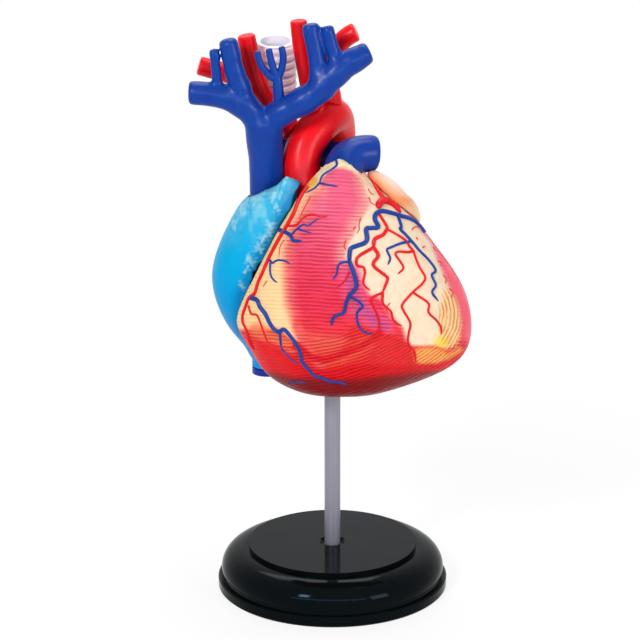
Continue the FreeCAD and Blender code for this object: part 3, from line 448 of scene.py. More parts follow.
finish_node("left_atrium", vessel_finish("left_atrium_paint", shade(232, 112, 122), shade(206, 72, 84),
                                         shade(246, 190, 176)))
red_paint = vessel_finish("artery_red_paint", shade(236, 10, 24), shade(204, 12, 24), shade(240, 62, 82))
for lung_vein in ("left_lower", "right_upper", "right_lower"):
    finish_node(lung_vein + "_pulmonary_vein", red_paint)
drooping_vein = merged_copy("left_upper_pulmonary_vein")[0]
vein_places = points_of(drooping_vein)[0]
vein_places[:, 2] -= LUNG_VEIN_DROP * soft_step(*LUNG_VEIN_BEND, vein_places[:, 0])
vein_places[:, 0] -= LUNG_VEIN_SHRINK * np.maximum(vein_places[:, 0] - LUNG_VEIN_BEND[0], 0.0)
move_to(drooping_vein, vein_places)
drooping_vein.shade_smooth()
drooping_vein.materials.clear()
drooping_vein.materials.append(red_paint)
hang("left_upper_lung_vein", drooping_vein, "core", "vessel_red", "left_upper_pulmonary_vein")

# ---------------------------------------------------------------- arteries
# The aorta and its three branches: vinyl tubes with rounded rims, moulded one by one, glued
# at the arch and painted gloss red. They stand on the aortic valve.
for artery in ("aorta", "brachiocephalic_artery", "left_carotid_artery", "left_subclavian_artery"):
    finish_node(artery, red_paint)

# ---------------------------------------------------------------- trachea
# A white ringed windpipe stub with its two bronchi, moulded in one piece. Grey-violet
# painted shade lies in the valleys between the rings and fades out near the top.
TRACHEA_FOOT = Vector((-20.6, 25.6, 91.6))
TRACHEA_HEAD = Vector((-21.0, 19.8, 130.2))
RING_PITCH = 3.0
RING_PHASE = 0.785
VALLEY_SHADE_END = (33.0, 37.0)
trachea = Finish("ringed_white_vinyl", Specular_IOR_Level=0.45)
pipe_way = (TRACHEA_HEAD - TRACHEA_FOOT).normalized()
pipe_foot = (TRACHEA_FOOT + HEART) * MM
from_foot = trachea.vectors("SUBTRACT", trachea.place, pipe_foot)
along = trachea.vectors("DOT_PRODUCT", from_foot, pipe_way, "Value")
# Grey-violet painted shade in the valleys between the rings, fading out near the top.
valley_shade = ((along * (math.tau / (RING_PITCH * MM)) - RING_PHASE).sine() * -0.5 + 0.5).ramp(0.55, 0.95)
stain = trachea.noise(4.0)
pipe_colour = trachea.blend(stain, shade(255, 254, 255), shade(240, 238, 250))
valley_shade = valley_shade * (0.75 * (1.0 - along.ramp(VALLEY_SHADE_END[0] * MM, VALLEY_SHADE_END[1] * MM)))
pipe_colour = trachea.blend(valley_shade, pipe_colour, shade(150, 152, 204))
finish_node("trachea", trachea.end(pipe_colour, 0.38 + 0.1 * stain, stain, 0.12))

# ---------------------------------------------------------------- right atrium
# A hollow sac moulded in bright blue vinyl that plugs on to the groove. Pale colour on small
# raised lumps along its front edge is partly paint and partly painted highlight, its tip carries a
# painted highlight, painted shade darkens it along the front wall's edge, and its top is paler.
ATRIUM_VOXEL = 0.45
ATRIUM_TIP_PULL = 2.8
# Lumps (x, y, z, radius, rise), pale with paint and painted highlight; the last is a highlight on the tip.
ATRIUM_LUMPS_AND_HIGHLIGHTS = [
    (-17.6, -15.6, 158.1, 2.4, 0.6), (-21.5, -14.5, 157.1, 2.5, 0.7), (-19.5, -15.5, 153.0, 2.2, 0.7),
    (-27.1, -10.7, 155.7, 4.6, 0.6), (-32.7, -7.7, 150.8, 4.8, 0.6), (-36.1, -5.6, 144.8, 3.4, 0.5),
    (-22.8, -14.7, 147.0, 3.0, 0.8), (-23.8, -14.4, 143.6, 2.2, 0.7), (-25.8, -13.9, 141.1, 2.6, 0.8),
    (-27.1, -13.5, 137.5, 2.4, 0.8), (-29.5, -12.8, 132.5, 2.8, 0.8), (-30.8, -12.3, 128.4, 2.0, 0.7),
    (-33.5, -11.3, 122.9, 2.2, 0.7), (-15.6, -15.2, 163.0, 3.2, 0.0)]
ATRIUM_EDGE = [(-10.5, 80.0), (-15.0, 70.1), (-20.6, 59.4), (-25.8, 50.0), (-29.6, 41.3), (-33.0, 35.7),
               (-34.0, 24.0)]


def raise_lumps(places, normals, lumps, rough=1.0):
    """Raised lumps of (x, y, z, radius, rise); gives the moved places and how much each is a lump."""
    amount = np.zeros(len(places))
    rise = np.zeros(len(places))
    waver = 0.8 * np.sin(places[:, [1, 2, 0]] * 1.9) + 0.5 * np.sin(places[:, [2, 0, 1]] * 3.7)
    uneven = places + rough * waver
    for x, y, z, radius, high in lumps:
        near = soft_step(radius, radius * 0.25, np.linalg.norm(uneven - np.array([x, y, z]), axis=1))
        amount = np.maximum(amount, near)
        rise = np.maximum(rise, near * high)
    return places + normals * rise[:, None], amount


atrium_mesh = even_skin("right_atrium", ATRIUM_VOXEL)
atrium_places, atrium_normals = points_of(atrium_mesh)
atrium_trees = solid_trees("right_atrium", "posterior_wall", "anterior_wall")
atrium_out = facing_out(atrium_places, atrium_normals, atrium_trees)
atrium_places, atrium_lump_highlight = raise_lumps(atrium_places, atrium_normals, ATRIUM_LUMPS_AND_HIGHLIGHTS)
atrium_tip = soft_step(-21.0, -12.0, atrium_places[:, 0]) * soft_step(152.0, 160.0, atrium_places[:, 2])
atrium_places[:, 0] -= ATRIUM_TIP_PULL * atrium_tip
move_to(atrium_mesh, atrium_places)
atrium_edge_reach = away_from(front_drawing(atrium_places), ATRIUM_EDGE)
keep(atrium_mesh, "lump_highlight", atrium_lump_highlight)
# The roll attribute is painted shade, darker near the edge next to the front wall.
keep(atrium_mesh, "roll", soft_step(5.5, 0.5, atrium_edge_reach))
keep(atrium_mesh, "outside", np.maximum(atrium_out, soft_step(-9.0, -12.0, atrium_places[:, 1])))
sac = Finish("bright_blue_vinyl", Specular_IOR_Level=0.06)
sac_up = sac.axis("Z") / MM - HEART.z
sac_cloud = sac.noise(8.0)
sac_colour = sac.blend(sac_up.ramp(20.0, 62.0), shade(0, 138, 204), shade(0, 164, 214))
sac_patch = sac.noise(4.5, stretch=(1.0, 1.0, 0.7), detail=4.0).ramp(0.42, 0.62)
sac_colour = sac.blend(sac_up.ramp(56.0, 78.0) * (0.25 + 0.75 * sac_patch), sac_colour, shade(112, 194, 216))
sac_colour = sac.blend(sac_cloud.ramp(0.55, 0.8) * 0.3, sac_colour, shade(22, 170, 216))
# Painted shade along the edge next to the front wall.
sac_colour = sac.blend(sac.value("roll") * 0.75, sac_colour, shade(0, 112, 176))
# Pale paint and painted highlight on the raised lumps and the tip.
sac_lump_highlight = sac.value("lump_highlight") * (0.45 + 0.55 * sac.noise(2.4).ramp(0.30, 0.60))
sac_colour = sac.blend(sac_lump_highlight * 0.75, sac_colour, shade(160, 212, 224))
sac_colour = sac.blend(sac.value("outside"), shade(196, 70, 84), sac_colour)
atrium_mesh.materials.append(sac.end(sac_colour, 0.30 + 0.12 * sac_cloud, sac.noise(2.2), 0.25))
hang("right_atrium_sac", atrium_mesh, "atrium", "right_atrium_cyan", "right_atrium")

low_vein = vessel_finish("lower_vein_dark_blue", shade(24, 40, 150), shade(34, 34, 130), shade(30, 70, 160))
finish_node("inferior_vena_cava", low_vein)

# ---------------------------------------------------------------- upper great vein
# The superior vena cava and its branches are one moulding that stands in the right atrium;
# the small thyroid veins are a separate moulding glued to it. Both are gloss blue.
VEIN_VOXEL = 0.5
FORK_ROUNDS = 30
SKIN_ROUNDS = 16
VEIN_FORKS = [(-25.0, -2.0, 179.0, 12.0), (-4.5, -5.0, 197.5, 9.0), (1.4, -4.6, 203.0, 7.5),
              (-31.5, -2.8, 189.0, 9.0), (-41.0, -2.8, 193.0, 7.0)]
VEIN_SWELLS = [
    (-25.0, -2.0, 178.5, 13.0, 1.2), (-32.0, -2.8, 189.0, 8.0, 1.3), (-33.2, -2.9, 195.0, 7.5, 1.2),
    (-35.2, -2.9, 200.5, 7.0, 0.9), (-36.6, -2.7, 206.5, 6.5, 0.7), (-37.8, -2.4, 212.4, 6.5, 0.6),
    (-19.0, -3.6, 185.6, 9.0, 1.0), (-10.5, -5.0, 190.6, 9.0, 1.3), (-3.6, -5.2, 195.8, 9.0, 1.4),
    (1.8, -4.8, 200.8, 9.0, 1.4), (7.0, -3.8, 204.5, 8.5, 1.1), (12.0, -2.8, 207.5, 7.0, 0.5),
    (-18.6, -1.0, 163.0, 6.0, 0.9), (-18.8, -1.5, 170.0, 6.0, 0.9)]


def soften(mesh, places, forks, rounds, least):
    """Rounds off the creases round each fork (x, y, z, radius) and smooths the rest a little."""
    amount = np.full(len(places), least)
    for x, y, z, radius in forks:
        near = soft_step(radius, radius * 0.5, np.linalg.norm(places - np.array([x, y, z]), axis=1))
        amount = np.maximum(amount, near)
    ends = np.zeros(len(mesh.edges) * 2, np.int64)
    mesh.edges.foreach_get("vertices", ends)
    first, last = ends.reshape(-1, 2).T
    both, other = np.concatenate([first, last]), np.concatenate([last, first])
    count = np.bincount(both, minlength=len(places))
    for _ in range(rounds):
        mean = [np.bincount(both, places[other, axis], len(places)) / count for axis in range(3)]
        places = places + (np.column_stack(mean) - places) * (0.6 * amount)[:, None]
    return places


def vein_skin(node, forks, swells):
    """A copy of a moulded vessel with soft forks and a few swellings."""
    mesh = even_skin(node, VEIN_VOXEL)
    places, normals = points_of(mesh)
    move_to(mesh, soften(mesh, places, forks, FORK_ROUNDS, least=0.15))
    places, normals = points_of(mesh)
    places = raise_lumps(places, normals, swells, rough=0.0)[0]
    move_to(mesh, soften(mesh, places, forks, SKIN_ROUNDS, least=0.6))
    mesh.materials.append(blue_paint)
    return mesh


blue_paint = vessel_finish("vein_blue_paint", shade(4, 58, 146), shade(14, 44, 136), shade(24, 92, 172))
great_vein = vein_skin("superior_vena_cava", VEIN_FORKS, VEIN_SWELLS)
hang("upper_great_vein", great_vein, "veins", "vessel_blue", "superior_vena_cava")
finish_node("thyroid_veins", blue_paint)

# ---------------------------------------------------------------- pulmonary trunk
# The trunk is one bent moulding on the valve plate, with its bends rounded off; the right
# branch is glued behind it. Both carry blue blood, so they are painted gloss blue.
TRUNK_BENDS = [(5.4, -2.0, 167.6, 12.0), (10.8, 1.6, 168.9, 8.0)]
trunk = vein_skin("pulmonary_trunk", TRUNK_BENDS, [])
hang("pulmonary_trunk_skin", trunk, "core", "vessel_blue", "pulmonary_trunk")
finish_node("right_pulmonary_artery", blue_paint)

# ---------------------------------------------------------------- left auricle
# A soft lobe of peach vinyl that plugs on beside the pulmonary trunk. Painted orange shade runs
# along its inner edge and through the fold between its lobes, its paler top is partly a painted
# highlight, and it is lumpy with cream fat at its lower end.
AURICLE_VOXEL = 0.5
AURICLE_LUMPS = [
    (26.5, -8.0, 146.0, 3.2, 0.5), (29.5, -6.5, 142.5, 3.0, 0.6), (32.0, -5.0, 139.0, 2.8, 0.6),
    (33.0, -2.0, 143.0, 3.0, 0.5), (34.5, 1.0, 139.5, 2.6, 0.5)]
AURICLE_INNER_EDGE = [(12.5, 80.5), (15.5, 77.5), (19.0, 73.6), (23.5, 69.6), (27.5, 66.5)]
auricle_mesh = even_skin("left_auricle", AURICLE_VOXEL)
auricle_places, auricle_normals = points_of(auricle_mesh)
auricle_places, auricle_lump = raise_lumps(auricle_places, auricle_normals, AURICLE_LUMPS)
move_to(auricle_mesh, auricle_places)
auricle_draw = front_drawing(auricle_places)
auricle_rise = auricle_draw[:, 1]
auricle_edge = away_from(auricle_draw, AURICLE_INNER_EDGE)
auricle_paint = np.tile((246.0, 202.0, 180.0), (len(auricle_places), 1))
spray(auricle_paint, (238, 176, 138), soft_step(80, 73, auricle_rise) * 0.6)
# Paler top, partly a painted highlight.
spray(auricle_paint, (250, 214, 198), soft_step(72, 80, auricle_rise))
# Painted orange shade along the inner edge where the lobe meets the trunk, deepest at the edge.
auricle_upper = soft_step(67.0, 72.0, auricle_rise)
spray(auricle_paint, (238, 160, 108), soft_step(5.5, 1.4, auricle_edge) * 0.7 * auricle_upper)
spray(auricle_paint, (224, 110, 62), soft_step(2.4, 0.6, auricle_edge) * 0.7 * auricle_upper)
# Painted orange shade in the fold between the upper and lower lobes.
auricle_fold = np.abs(auricle_rise - 71.5) + 0.4 * auricle_edge
spray(auricle_paint, (228, 140, 76), soft_step(4.0, 1.0, auricle_fold) * 0.6)
spray(auricle_paint, (243, 214, 156), soft_step(70.0, 66.0, auricle_rise) * 0.85)
spray(auricle_paint, (248, 228, 186), auricle_lump * 0.7)
keep_paint(auricle_mesh, auricle_paint)
keep(auricle_mesh, "fat", 0.15 + 0.35 * auricle_lump)
auricle_mesh.materials.append(muscle_finish("airbrushed_peach_vinyl"))
hang("left_auricle_lobe", auricle_mesh, "auricle", "auricle_peach", "left_auricle")

# ---------------------------------------------------------------- front wall
# The removable front half of the ventricles: moulded vinyl with level fibre lines over the
# right ventricle, airbrushed pink to red over cream, cream fat over the left ventricle, and
# painted shade in dark red over its underside.
FRONT_VOXEL = 0.52
CREAM_STRIP = [(-5.2, 75.8), (-8.4, 73.3), (-12.0, 66.5), (-15.8, 60.0), (-17.4, 53.5), (-17.6, 47.7),
               (-17.4, 40.8), (-17.0, 33.9), (-15.4, 29.2), (-13.8, 24.5), (-11.4, 19.5), (-17.5, 19.5),
               (-20.0, 22.5), (-45.0, 23.0), (-45.0, 92.0), (-5.2, 92.0)]
RIM_BAND = [(-5.2, 76.2), (-3.8, 79.1), (-1.6, 81.3), (0.9, 82.7), (3.8, 82.7), (7.1, 81.6), (9.8, 79.2),
            (11.6, 75.9), (12.4, 72.6), (26.0, 72.6), (26.0, 96.0), (-16.0, 96.0), (-16.0, 76.2)]
LEFT_CREAM = [(11.2, 79.2), (11.9, 75.5), (13.0, 71.9), (13.2, 69.3), (11.4, 66.1), (8.9, 62.6),
              (7.4, 58.8), (5.6, 56.0), (4.4, 52.7), (4.2, 49.8), (7.1, 47.3), (8.9, 45.2), (10.3, 41.6),
              (11.4, 39.4), (13.2, 36.9), (17.2, 35.4), (19.7, 31.1), (20.8, 28.9), (25.4, 24.7),
              (26.7, 20.5), (28.7, 17.9), (33.4, 17.8), (37.4, 18.0), (41.6, 16.8), (44.9, 18.4),
              (46.6, 21.5), (47.1, 25.7), (46.5, 30.5), (45.2, 34.5), (42.9, 39.3), (40.9, 44.4),
              (38.5, 49.9), (36.2, 56.0), (31.3, 62.1), (36.0, 72.0), (24.0, 78.0)]
RIGHT_SIDE = [(62.0, 20.0), (47.4, 20.0), (47.4, 26.0), (46.6, 30.5), (45.5, 34.5), (43.0, 39.3),
              (41.0, 44.4), (38.6, 49.9), (36.4, 56.0), (33.0, 62.1), (62.0, 76.0)]
LOW_ZONE = [(-45.0, 23.0), (-25.7, 24.0), (-20.5, 24.1), (-17.6, 22.4), (-15.0, 20.2), (-11.8, 19.7),
            (-7.4, 20.6), (-2.3, 20.6), (2.0, 21.6), (4.9, 23.2), (7.1, 25.0), (10.0, 25.6), (13.6, 24.4),
            (18.7, 23.0), (22.3, 22.2), (26.0, 20.1), (28.6, 17.9), (33.4, 17.8), (37.8, 17.8),
            (42.0, 16.2), (46.1, 17.6), (60.0, 20.0), (60.0, -20.0), (-45.0, -20.0)]
LILAC_LINE = [(6.4, 44.0), (7.4, 38.5), (9.2, 33.5), (12.1, 30.7), (14.8, 28.0), (18.3, 25.6)]
PEACH_LOW = [(-11.5, 22.5), (-5.2, 22.5), (-0.1, 22.0), (4.2, 21.6), (6.0, 19.8), (2.8, 16.8), (-3.1, 15.0),
             (-7.6, 16.8)]
RED_VALLEY = [(-13.3, 18.6), (-11.0, 16.9), (-7.8, 14.2), (-3.5, 13.0), (1.3, 14.3), (5.7, 16.1),
              (9.8, 17.9), (14.4, 20.5), (17.2, 23.2)]
ORANGE_STREAKS = [(-6.5, 12.0), (-2.3, 13.2), (2.8, 14.8), (7.1, 17.2), (9.6, 21.0), (15.8, 21.8),
                  (14.4, 18.0), (9.3, 14.4), (4.9, 12.2), (-0.9, 10.4)]
ORANGE_PATCH = [(29.3, 17.1), (33.4, 17.8), (37.8, 17.8), (42.3, 15.9), (46.5, 18.0), (48.5, 16.4),
                (42.5, 12.5), (38.0, 11.2), (32.0, 11.2), (30.1, 12.7)]
RED_LEFT = [(-45.0, 21.0), (-29.5, 20.4), (-25.8, 19.2), (-22.8, 18.1), (-18.4, 16.9), (-14.9, 14.7),
            (-12.6, 12.0), (-7.5, 8.2), (-17.0, 2.0), (-45.0, 0.0)]
RED_LOW = [(-45.0, 16.0), (-20.6, 13.0), (-11.1, 10.6), (-5.5, 9.6), (1.0, 9.8), (7.0, 11.0), (12.0, 11.6),
           (19.1, 11.2), (25.0, 10.9), (32.0, 11.0), (38.0, 11.2), (43.2, 12.6), (60.0, 19.0),
           (60.0, -20.0), (-45.0, -20.0)]
# The outline of the painted shade over the underside at the bottom of the wall.
UNDERSIDE_SHADE = [(-45.0, 9.0), (-20.8, 8.0), (-16.3, 6.8), (-11.9, 6.4), (-5.3, 6.2), (1.3, 5.6), (10.1, 5.8),
            (15.9, 6.8), (22.5, 7.6), (28.4, 8.2), (60.0, 10.0), (60.0, -20.0), (-45.0, -20.0)]

front_mesh = even_skin("anterior_wall", FRONT_VOXEL)
front_places, front_normals = points_of(front_mesh)
front_out = facing_out(front_places, front_normals, wall_trees)
front_draw = front_drawing(front_places)
front_u, front_v = front_draw.T
heights = [10.0, 24.0, 32.0, 46.0, 58.0, 68.0, 76.0, 84.0]
reds = np.interp(front_v, heights, [220, 230, 226, 224, 224, 222, 220, 214])
greens = np.interp(front_v, heights, [46, 52, 48, 58, 80, 98, 98, 94])
blues = np.interp(front_v, heights, [54, 68, 76, 90, 112, 128, 128, 128])
front_paint = np.column_stack([reds, greens, blues])


def front_patch(colour, outline, soft, strength=1.0):
    """Airbrushes a patch with a soft edge on the front wall and gives its mask."""
    mask = area(front_draw, outline, soft)
    spray(front_paint, colour, mask * strength)
    return mask


def front_stroke(colour, line, reach, core, strength=1.0):
    """Airbrushes a stroke along a line: full within its core, gone past its reach."""
    spray(front_paint, colour, soft_step(reach, core, away_from(front_draw, line)) * strength)


middle = soft_step(-10.0, 4.0, front_u) * soft_step(36, 52, front_v)
spray(front_paint, (236, 96, 130), middle * 0.5)
strip_edge = away_from(front_draw, CREAM_STRIP[:9])
strip = area(front_draw, CREAM_STRIP, 2.2)
spray(front_paint, (240, 142, 118), soft_step(6.0, 0.5, strip_edge) * 0.7 * soft_step(24, 30, front_v))
spray(front_paint, (243, 210, 152), strip)
rim = front_patch((240, 228, 184), RIM_BAND, 1.0)
front_stroke((238, 178, 84), [(-9.6, 76.0), (-6.9, 78.0)], 2.6, 1.0)
right_side = front_patch((242, 92, 112), RIGHT_SIDE, 2.0)
cream = area(front_draw, LEFT_CREAM, 1.3)
cream_edge = away_from(front_draw, LEFT_CREAM[:10])
spray(front_paint, (243, 178, 156), soft_step(5.5, 0.5, cream_edge) * (1.0 - cream) * 0.75)
spray(front_paint, (233, 213, 184), cream)
front_stroke((232, 92, 136), LILAC_LINE, 6.4, 2.0, 0.75)
front_stroke((176, 84, 146), LILAC_LINE, 3.2, 0.8, 0.6)
fibres = soft_step(1.0, 0.55, np.hypot((front_u - 43.5) / 6.0, (front_v - 28.0) / 15.0)) * (1.0 - right_side)
spray(front_paint, (243, 206, 132), fibres * 0.8)
spray(front_paint, (240, 208, 92), soft_step(4.5, 1.0, np.hypot(front_u - 39.8, front_v - 19.4)))
low_zone = front_patch((222, 36, 38), LOW_ZONE, 1.0)
front_patch((232, 122, 92), PEACH_LOW, 2.2, 0.6)
front_patch((232, 100, 62), ORANGE_STREAKS, 1.8, 0.7)
front_patch((240, 168, 84), ORANGE_PATCH, 1.2)
front_stroke((234, 120, 78), [(-28.0, 23.4), (-21.0, 21.0), (-15.5, 18.0)], 4.5, 1.0, 0.9)
front_stroke((232, 96, 84), [(-12.6, 25.5), (-9.6, 18.0), (-4.0, 10.5)], 2.6, 0.8, 0.8)
red_left = front_patch((222, 8, 24), RED_LEFT, 1.6)
front_stroke((214, 8, 26), RED_VALLEY, 1.7, 0.7)
front_patch((216, 6, 20), RED_LOW, 1.2)
# Painted shade: dark red over the underside at the bottom of the wall.
underside_shade = front_patch((128, 22, 26), UNDERSIDE_SHADE, 1.6, 0.95)
spray(front_paint, MUSCLE, 1.0 - front_out)
keep_paint(front_mesh, front_paint)
not_cream = 1.0 - np.maximum(cream, rim)
level = front_out * not_cream * (1.0 - low_zone) * (1.0 - right_side) * (1.0 - 0.72 * strip)
keep(front_mesh, "level", level * (1.0 - 0.4 * soft_step(58, 74, front_v)))
keep(front_mesh, "swirl", front_out * low_zone * (1.0 - 0.7 * np.maximum(red_left, underside_shade)))
keep(front_mesh, "whorl", front_out * fibres)
keep(front_mesh, "fat", front_out * np.maximum(cream * 0.5, np.maximum(rim * 0.8, strip * 0.3)))
keep(front_mesh, "ridge", 1.0 - front_out)
front_mesh.materials.append(muscle_material)
front_wall = hang("front_wall", front_mesh, "front", "heart_wall", "anterior_wall")

# ---------------------------------------------------------------- heart's own vessels
# Coronary arteries and veins moulded in low relief on the walls and painted by hand: red
# arteries under blue veins, thick at the root and running out to thin tips.
RED_LINES = [
    (1.2, 2.6, [(14.6, 77.6), (16.6, 74.2), (18.7, 71.1)]),
    (3.0, 2.7, [(18.7, 71.1), (17.2, 70.2), (16.1, 68.3)]),
    (3.0, 2.3, [(18.7, 71.1), (21.6, 69.7), (24.8, 66.6)]),
    (1.1, 1.6, [(16.9, 66.0), (19.4, 61.8), (19.6, 60.6), (18.1, 58.5), (15.2, 56.9), (14.8, 54.0)]),
    (1.3, 0.8, [(14.8, 54.0), (9.8, 51.1), (8.6, 49.4), (9.0, 47.4), (11.1, 46.9), (11.7, 44.9),
                (11.1, 41.6), (11.9, 39.9), (13.6, 38.6)]),
    (1.5, 1.1, [(14.8, 54.0), (16.5, 51.1), (14.8, 48.6), (15.2, 46.9), (19.4, 43.6), (19.8, 42.4),
                (18.1, 37.8)]),
    (1.1, 0.8, [(18.1, 37.8), (14.0, 35.5), (14.7, 32.9), (16.3, 29.3), (17.0, 25.7), (16.3, 21.8)]),
    (1.1, 0.8, [(18.1, 37.8), (18.2, 33.8), (21.1, 30.9), (22.1, 27.6), (25.1, 25.5)]),
    (1.0, 1.0, [(19.6, 60.6), (22.7, 59.0), (26.5, 56.5), (27.8, 54.4), (29.4, 52.8)]),
    (1.1, 0.8, [(29.4, 52.8), (27.3, 52.3), (23.9, 52.5), (22.7, 51.5), (24.4, 49.0), (25.6, 46.5),
                (23.5, 44.4)]),
    (1.0, 0.8, [(29.4, 52.8), (29.8, 51.1), (31.5, 46.9), (33.6, 43.2), (32.3, 40.7), (29.2, 38.0),
                (25.3, 33.5), (25.7, 31.2), (28.2, 26.7), (27.7, 23.1), (27.4, 19.8), (28.4, 17.5),
                (29.7, 16.5), (30.5, 12.5)]),
    (1.0, 0.8, [(29.2, 38.0), (30.2, 37.0), (34.8, 33.8), (34.8, 30.5), (37.8, 27.6), (39.5, 24.9),
                (39.6, 22.6)]),
    (0.8, 0.6, [(6.1, 45.3), (4.5, 42.0), (1.6, 39.5)]),
    (1.9, 1.2, [(-8.7, 76.2), (-10.8, 73.3), (-12.4, 70.1), (-13.7, 66.8), (-15.6, 63.3), (-17.9, 59.4),
                (-20.2, 55.5), (-23.1, 50.0), (-25.5, 44.5), (-27.0, 41.3), (-28.3, 37.3), (-30.3, 35.7),
                (-31.7, 32.4), (-32.7, 29.5), (-32.7, 26.8), (-31.4, 23.9), (-30.5, 19.9), (-28.9, 16.6)]),
    (1.0, 0.6, [(-15.6, 61.7), (-12.7, 62.3), (-10.4, 64.8), (-7.2, 65.9), (-4.6, 65.1), (-1.7, 65.1)]),
    (1.0, 0.6, [(-30.6, 32.8), (-29.6, 29.9), (-27.6, 29.5), (-26.3, 26.9), (-25.0, 23.0), (-23.4, 19.4),
                (-21.5, 18.4), (-16.5, 17.8), (-13.3, 17.2)])]
BLUE_LINES = [
    (1.9, 1.6, [(33.6, 59.4), (31.6, 62.0), (28.7, 64.3), (24.5, 65.5), (21.1, 66.5), (17.7, 67.1),
                (15.8, 66.2), (15.2, 64.3), (16.5, 61.4), (14.0, 61.0), (12.1, 60.6), (12.5, 57.3),
                (11.5, 55.6), (8.2, 54.4), (6.5, 53.5), (6.1, 51.1), (6.1, 49.0)]),
    (1.6, 1.2, [(6.1, 49.0), (7.8, 44.4), (8.6, 39.9), (6.1, 36.6), (4.9, 33.7), (4.0, 30.4), (0.7, 29.1),
                (-0.5, 25.8)]),
    (1.0, 0.6, [(6.1, 49.0), (2.4, 48.0), (1.5, 44.4), (0.1, 42.4)]),
    (1.0, 0.8, [(6.1, 36.1), (8.6, 35.1), (10.5, 33.5), (10.8, 32.5), (9.0, 30.6), (8.9, 28.3), (9.7, 25.4),
                (11.5, 23.4), (14.7, 22.8)]),
    (1.4, 0.9, [(23.7, 65.3), (24.9, 61.5), (24.4, 60.7), (26.5, 58.6), (28.6, 56.3), (29.9, 54.8),
                (31.6, 52.8), (35.0, 49.4), (37.5, 45.7), (36.0, 44.0), (37.5, 40.3), (36.1, 37.8),
                (38.5, 34.6)]),
    (1.1, 0.8, [(28.6, 56.3), (24.4, 55.4), (21.0, 54.0), (19.6, 53.1), (20.8, 50.2), (20.0, 47.8)]),
    (1.7, 1.2, [(-19.2, 60.4), (-16.6, 59.4), (-14.9, 58.1), (-14.0, 56.5), (-11.0, 56.3)]),
    (0.8, 0.5, [(-15.0, 58.4), (-12.4, 61.0), (-10.4, 62.3), (-8.5, 61.9), (-6.5, 63.5), (-4.8, 64.3)]),
    (0.8, 0.5, [(-12.4, 60.7), (-9.7, 59.8), (-7.5, 59.3)]),
    (1.0, 0.6, [(-22.7, 49.4), (-21.8, 48.4), (-19.9, 49.4), (-17.4, 49.2), (-15.3, 48.2)]),
    (1.0, 0.6, [(-22.5, 48.4), (-22.5, 44.8), (-21.6, 42.6), (-19.9, 41.2)]),
    (1.8, 1.1, [(-29.6, 35.7), (-27.3, 34.8), (-26.3, 32.5), (-24.3, 29.9), (-22.7, 26.6), (-21.1, 24.4),
                (-19.5, 23.4), (-17.8, 24.4), (-16.2, 23.1), (-13.3, 19.2), (-11.7, 15.6), (-11.1, 12.6),
                (-8.4, 9.2), (-6.5, 7.3), (-3.6, 6.4), (-1.3, 5.2), (2.0, 4.9), (5.3, 3.9)]),
    (1.0, 0.6, [(-19.1, 23.1), (-18.8, 19.5), (-18.2, 16.8), (-15.6, 13.9), (-12.7, 11.4)]),
    (0.8, 0.6, [(-16.1, 4.0), (-13.4, 4.7), (-9.8, 4.5)]),
    (1.0, 0.8, [(1.4, 85.4), (1.6, 83.8), (-0.1, 82.2), (-3.4, 80.1), (-4.7, 77.2)]),
    (1.0, 0.6, [(-4.7, 77.2), (-2.2, 76.7), (2.0, 75.9)]),
    (1.0, 0.6, [(-4.7, 77.2), (-6.3, 75.5), (-9.7, 73.7)])]
HAIR_LINES = [
    (0.55, 0.45, [(12.9, 75.3), (13.8, 73.7), (15.0, 73.1)]),
    (0.55, 0.45, [(13.2, 72.1), (13.8, 70.3), (15.4, 69.3)]),
    (0.55, 0.45, [(10.2, 64.6), (9.5, 62.1), (9.7, 60.7), (8.8, 58.9)]),
    (0.6, 0.5, [(28.9, 60.4), (29.6, 61.4), (31.1, 61.6), (32.5, 60.7)]),
    (0.7, 0.6, [(30.5, 57.7), (30.9, 56.6)]), (0.7, 0.6, [(32.7, 54.1), (33.8, 54.5)]),
    (0.55, 0.45, [(4.9, 56.7), (4.2, 54.5), (4.9, 53.1)]), (0.55, 0.45, [(7.4, 60.3), (8.5, 61.7)]),
    (0.6, 0.5, [(36.8, 54.3), (37.9, 52.8)]), (0.6, 0.5, [(38.5, 49.2), (39.7, 48.6), (39.6, 47.3)]),
    (0.6, 0.5, [(40.3, 44.1), (41.4, 42.6), (41.0, 40.8)]),
    (0.6, 0.5, [(42.5, 39.0), (44.0, 37.9), (43.3, 35.7)]),
    (0.5, 0.4, [(7.1, 35.4), (7.1, 33.3), (7.8, 31.4)]),
    (0.55, 0.45, [(20.8, 34.0), (19.4, 31.8), (20.8, 29.6)]),
    (0.5, 0.4, [(-7.7, 72.6), (-9.5, 69.4), (-11.0, 66.5), (-12.1, 64.3)]),
    (0.5, 0.4, [(-17.5, 56.8), (-19.0, 54.2), (-19.4, 50.2)]), (0.5, 0.4, [(-23.8, 41.9), (-25.3, 39.7)])]


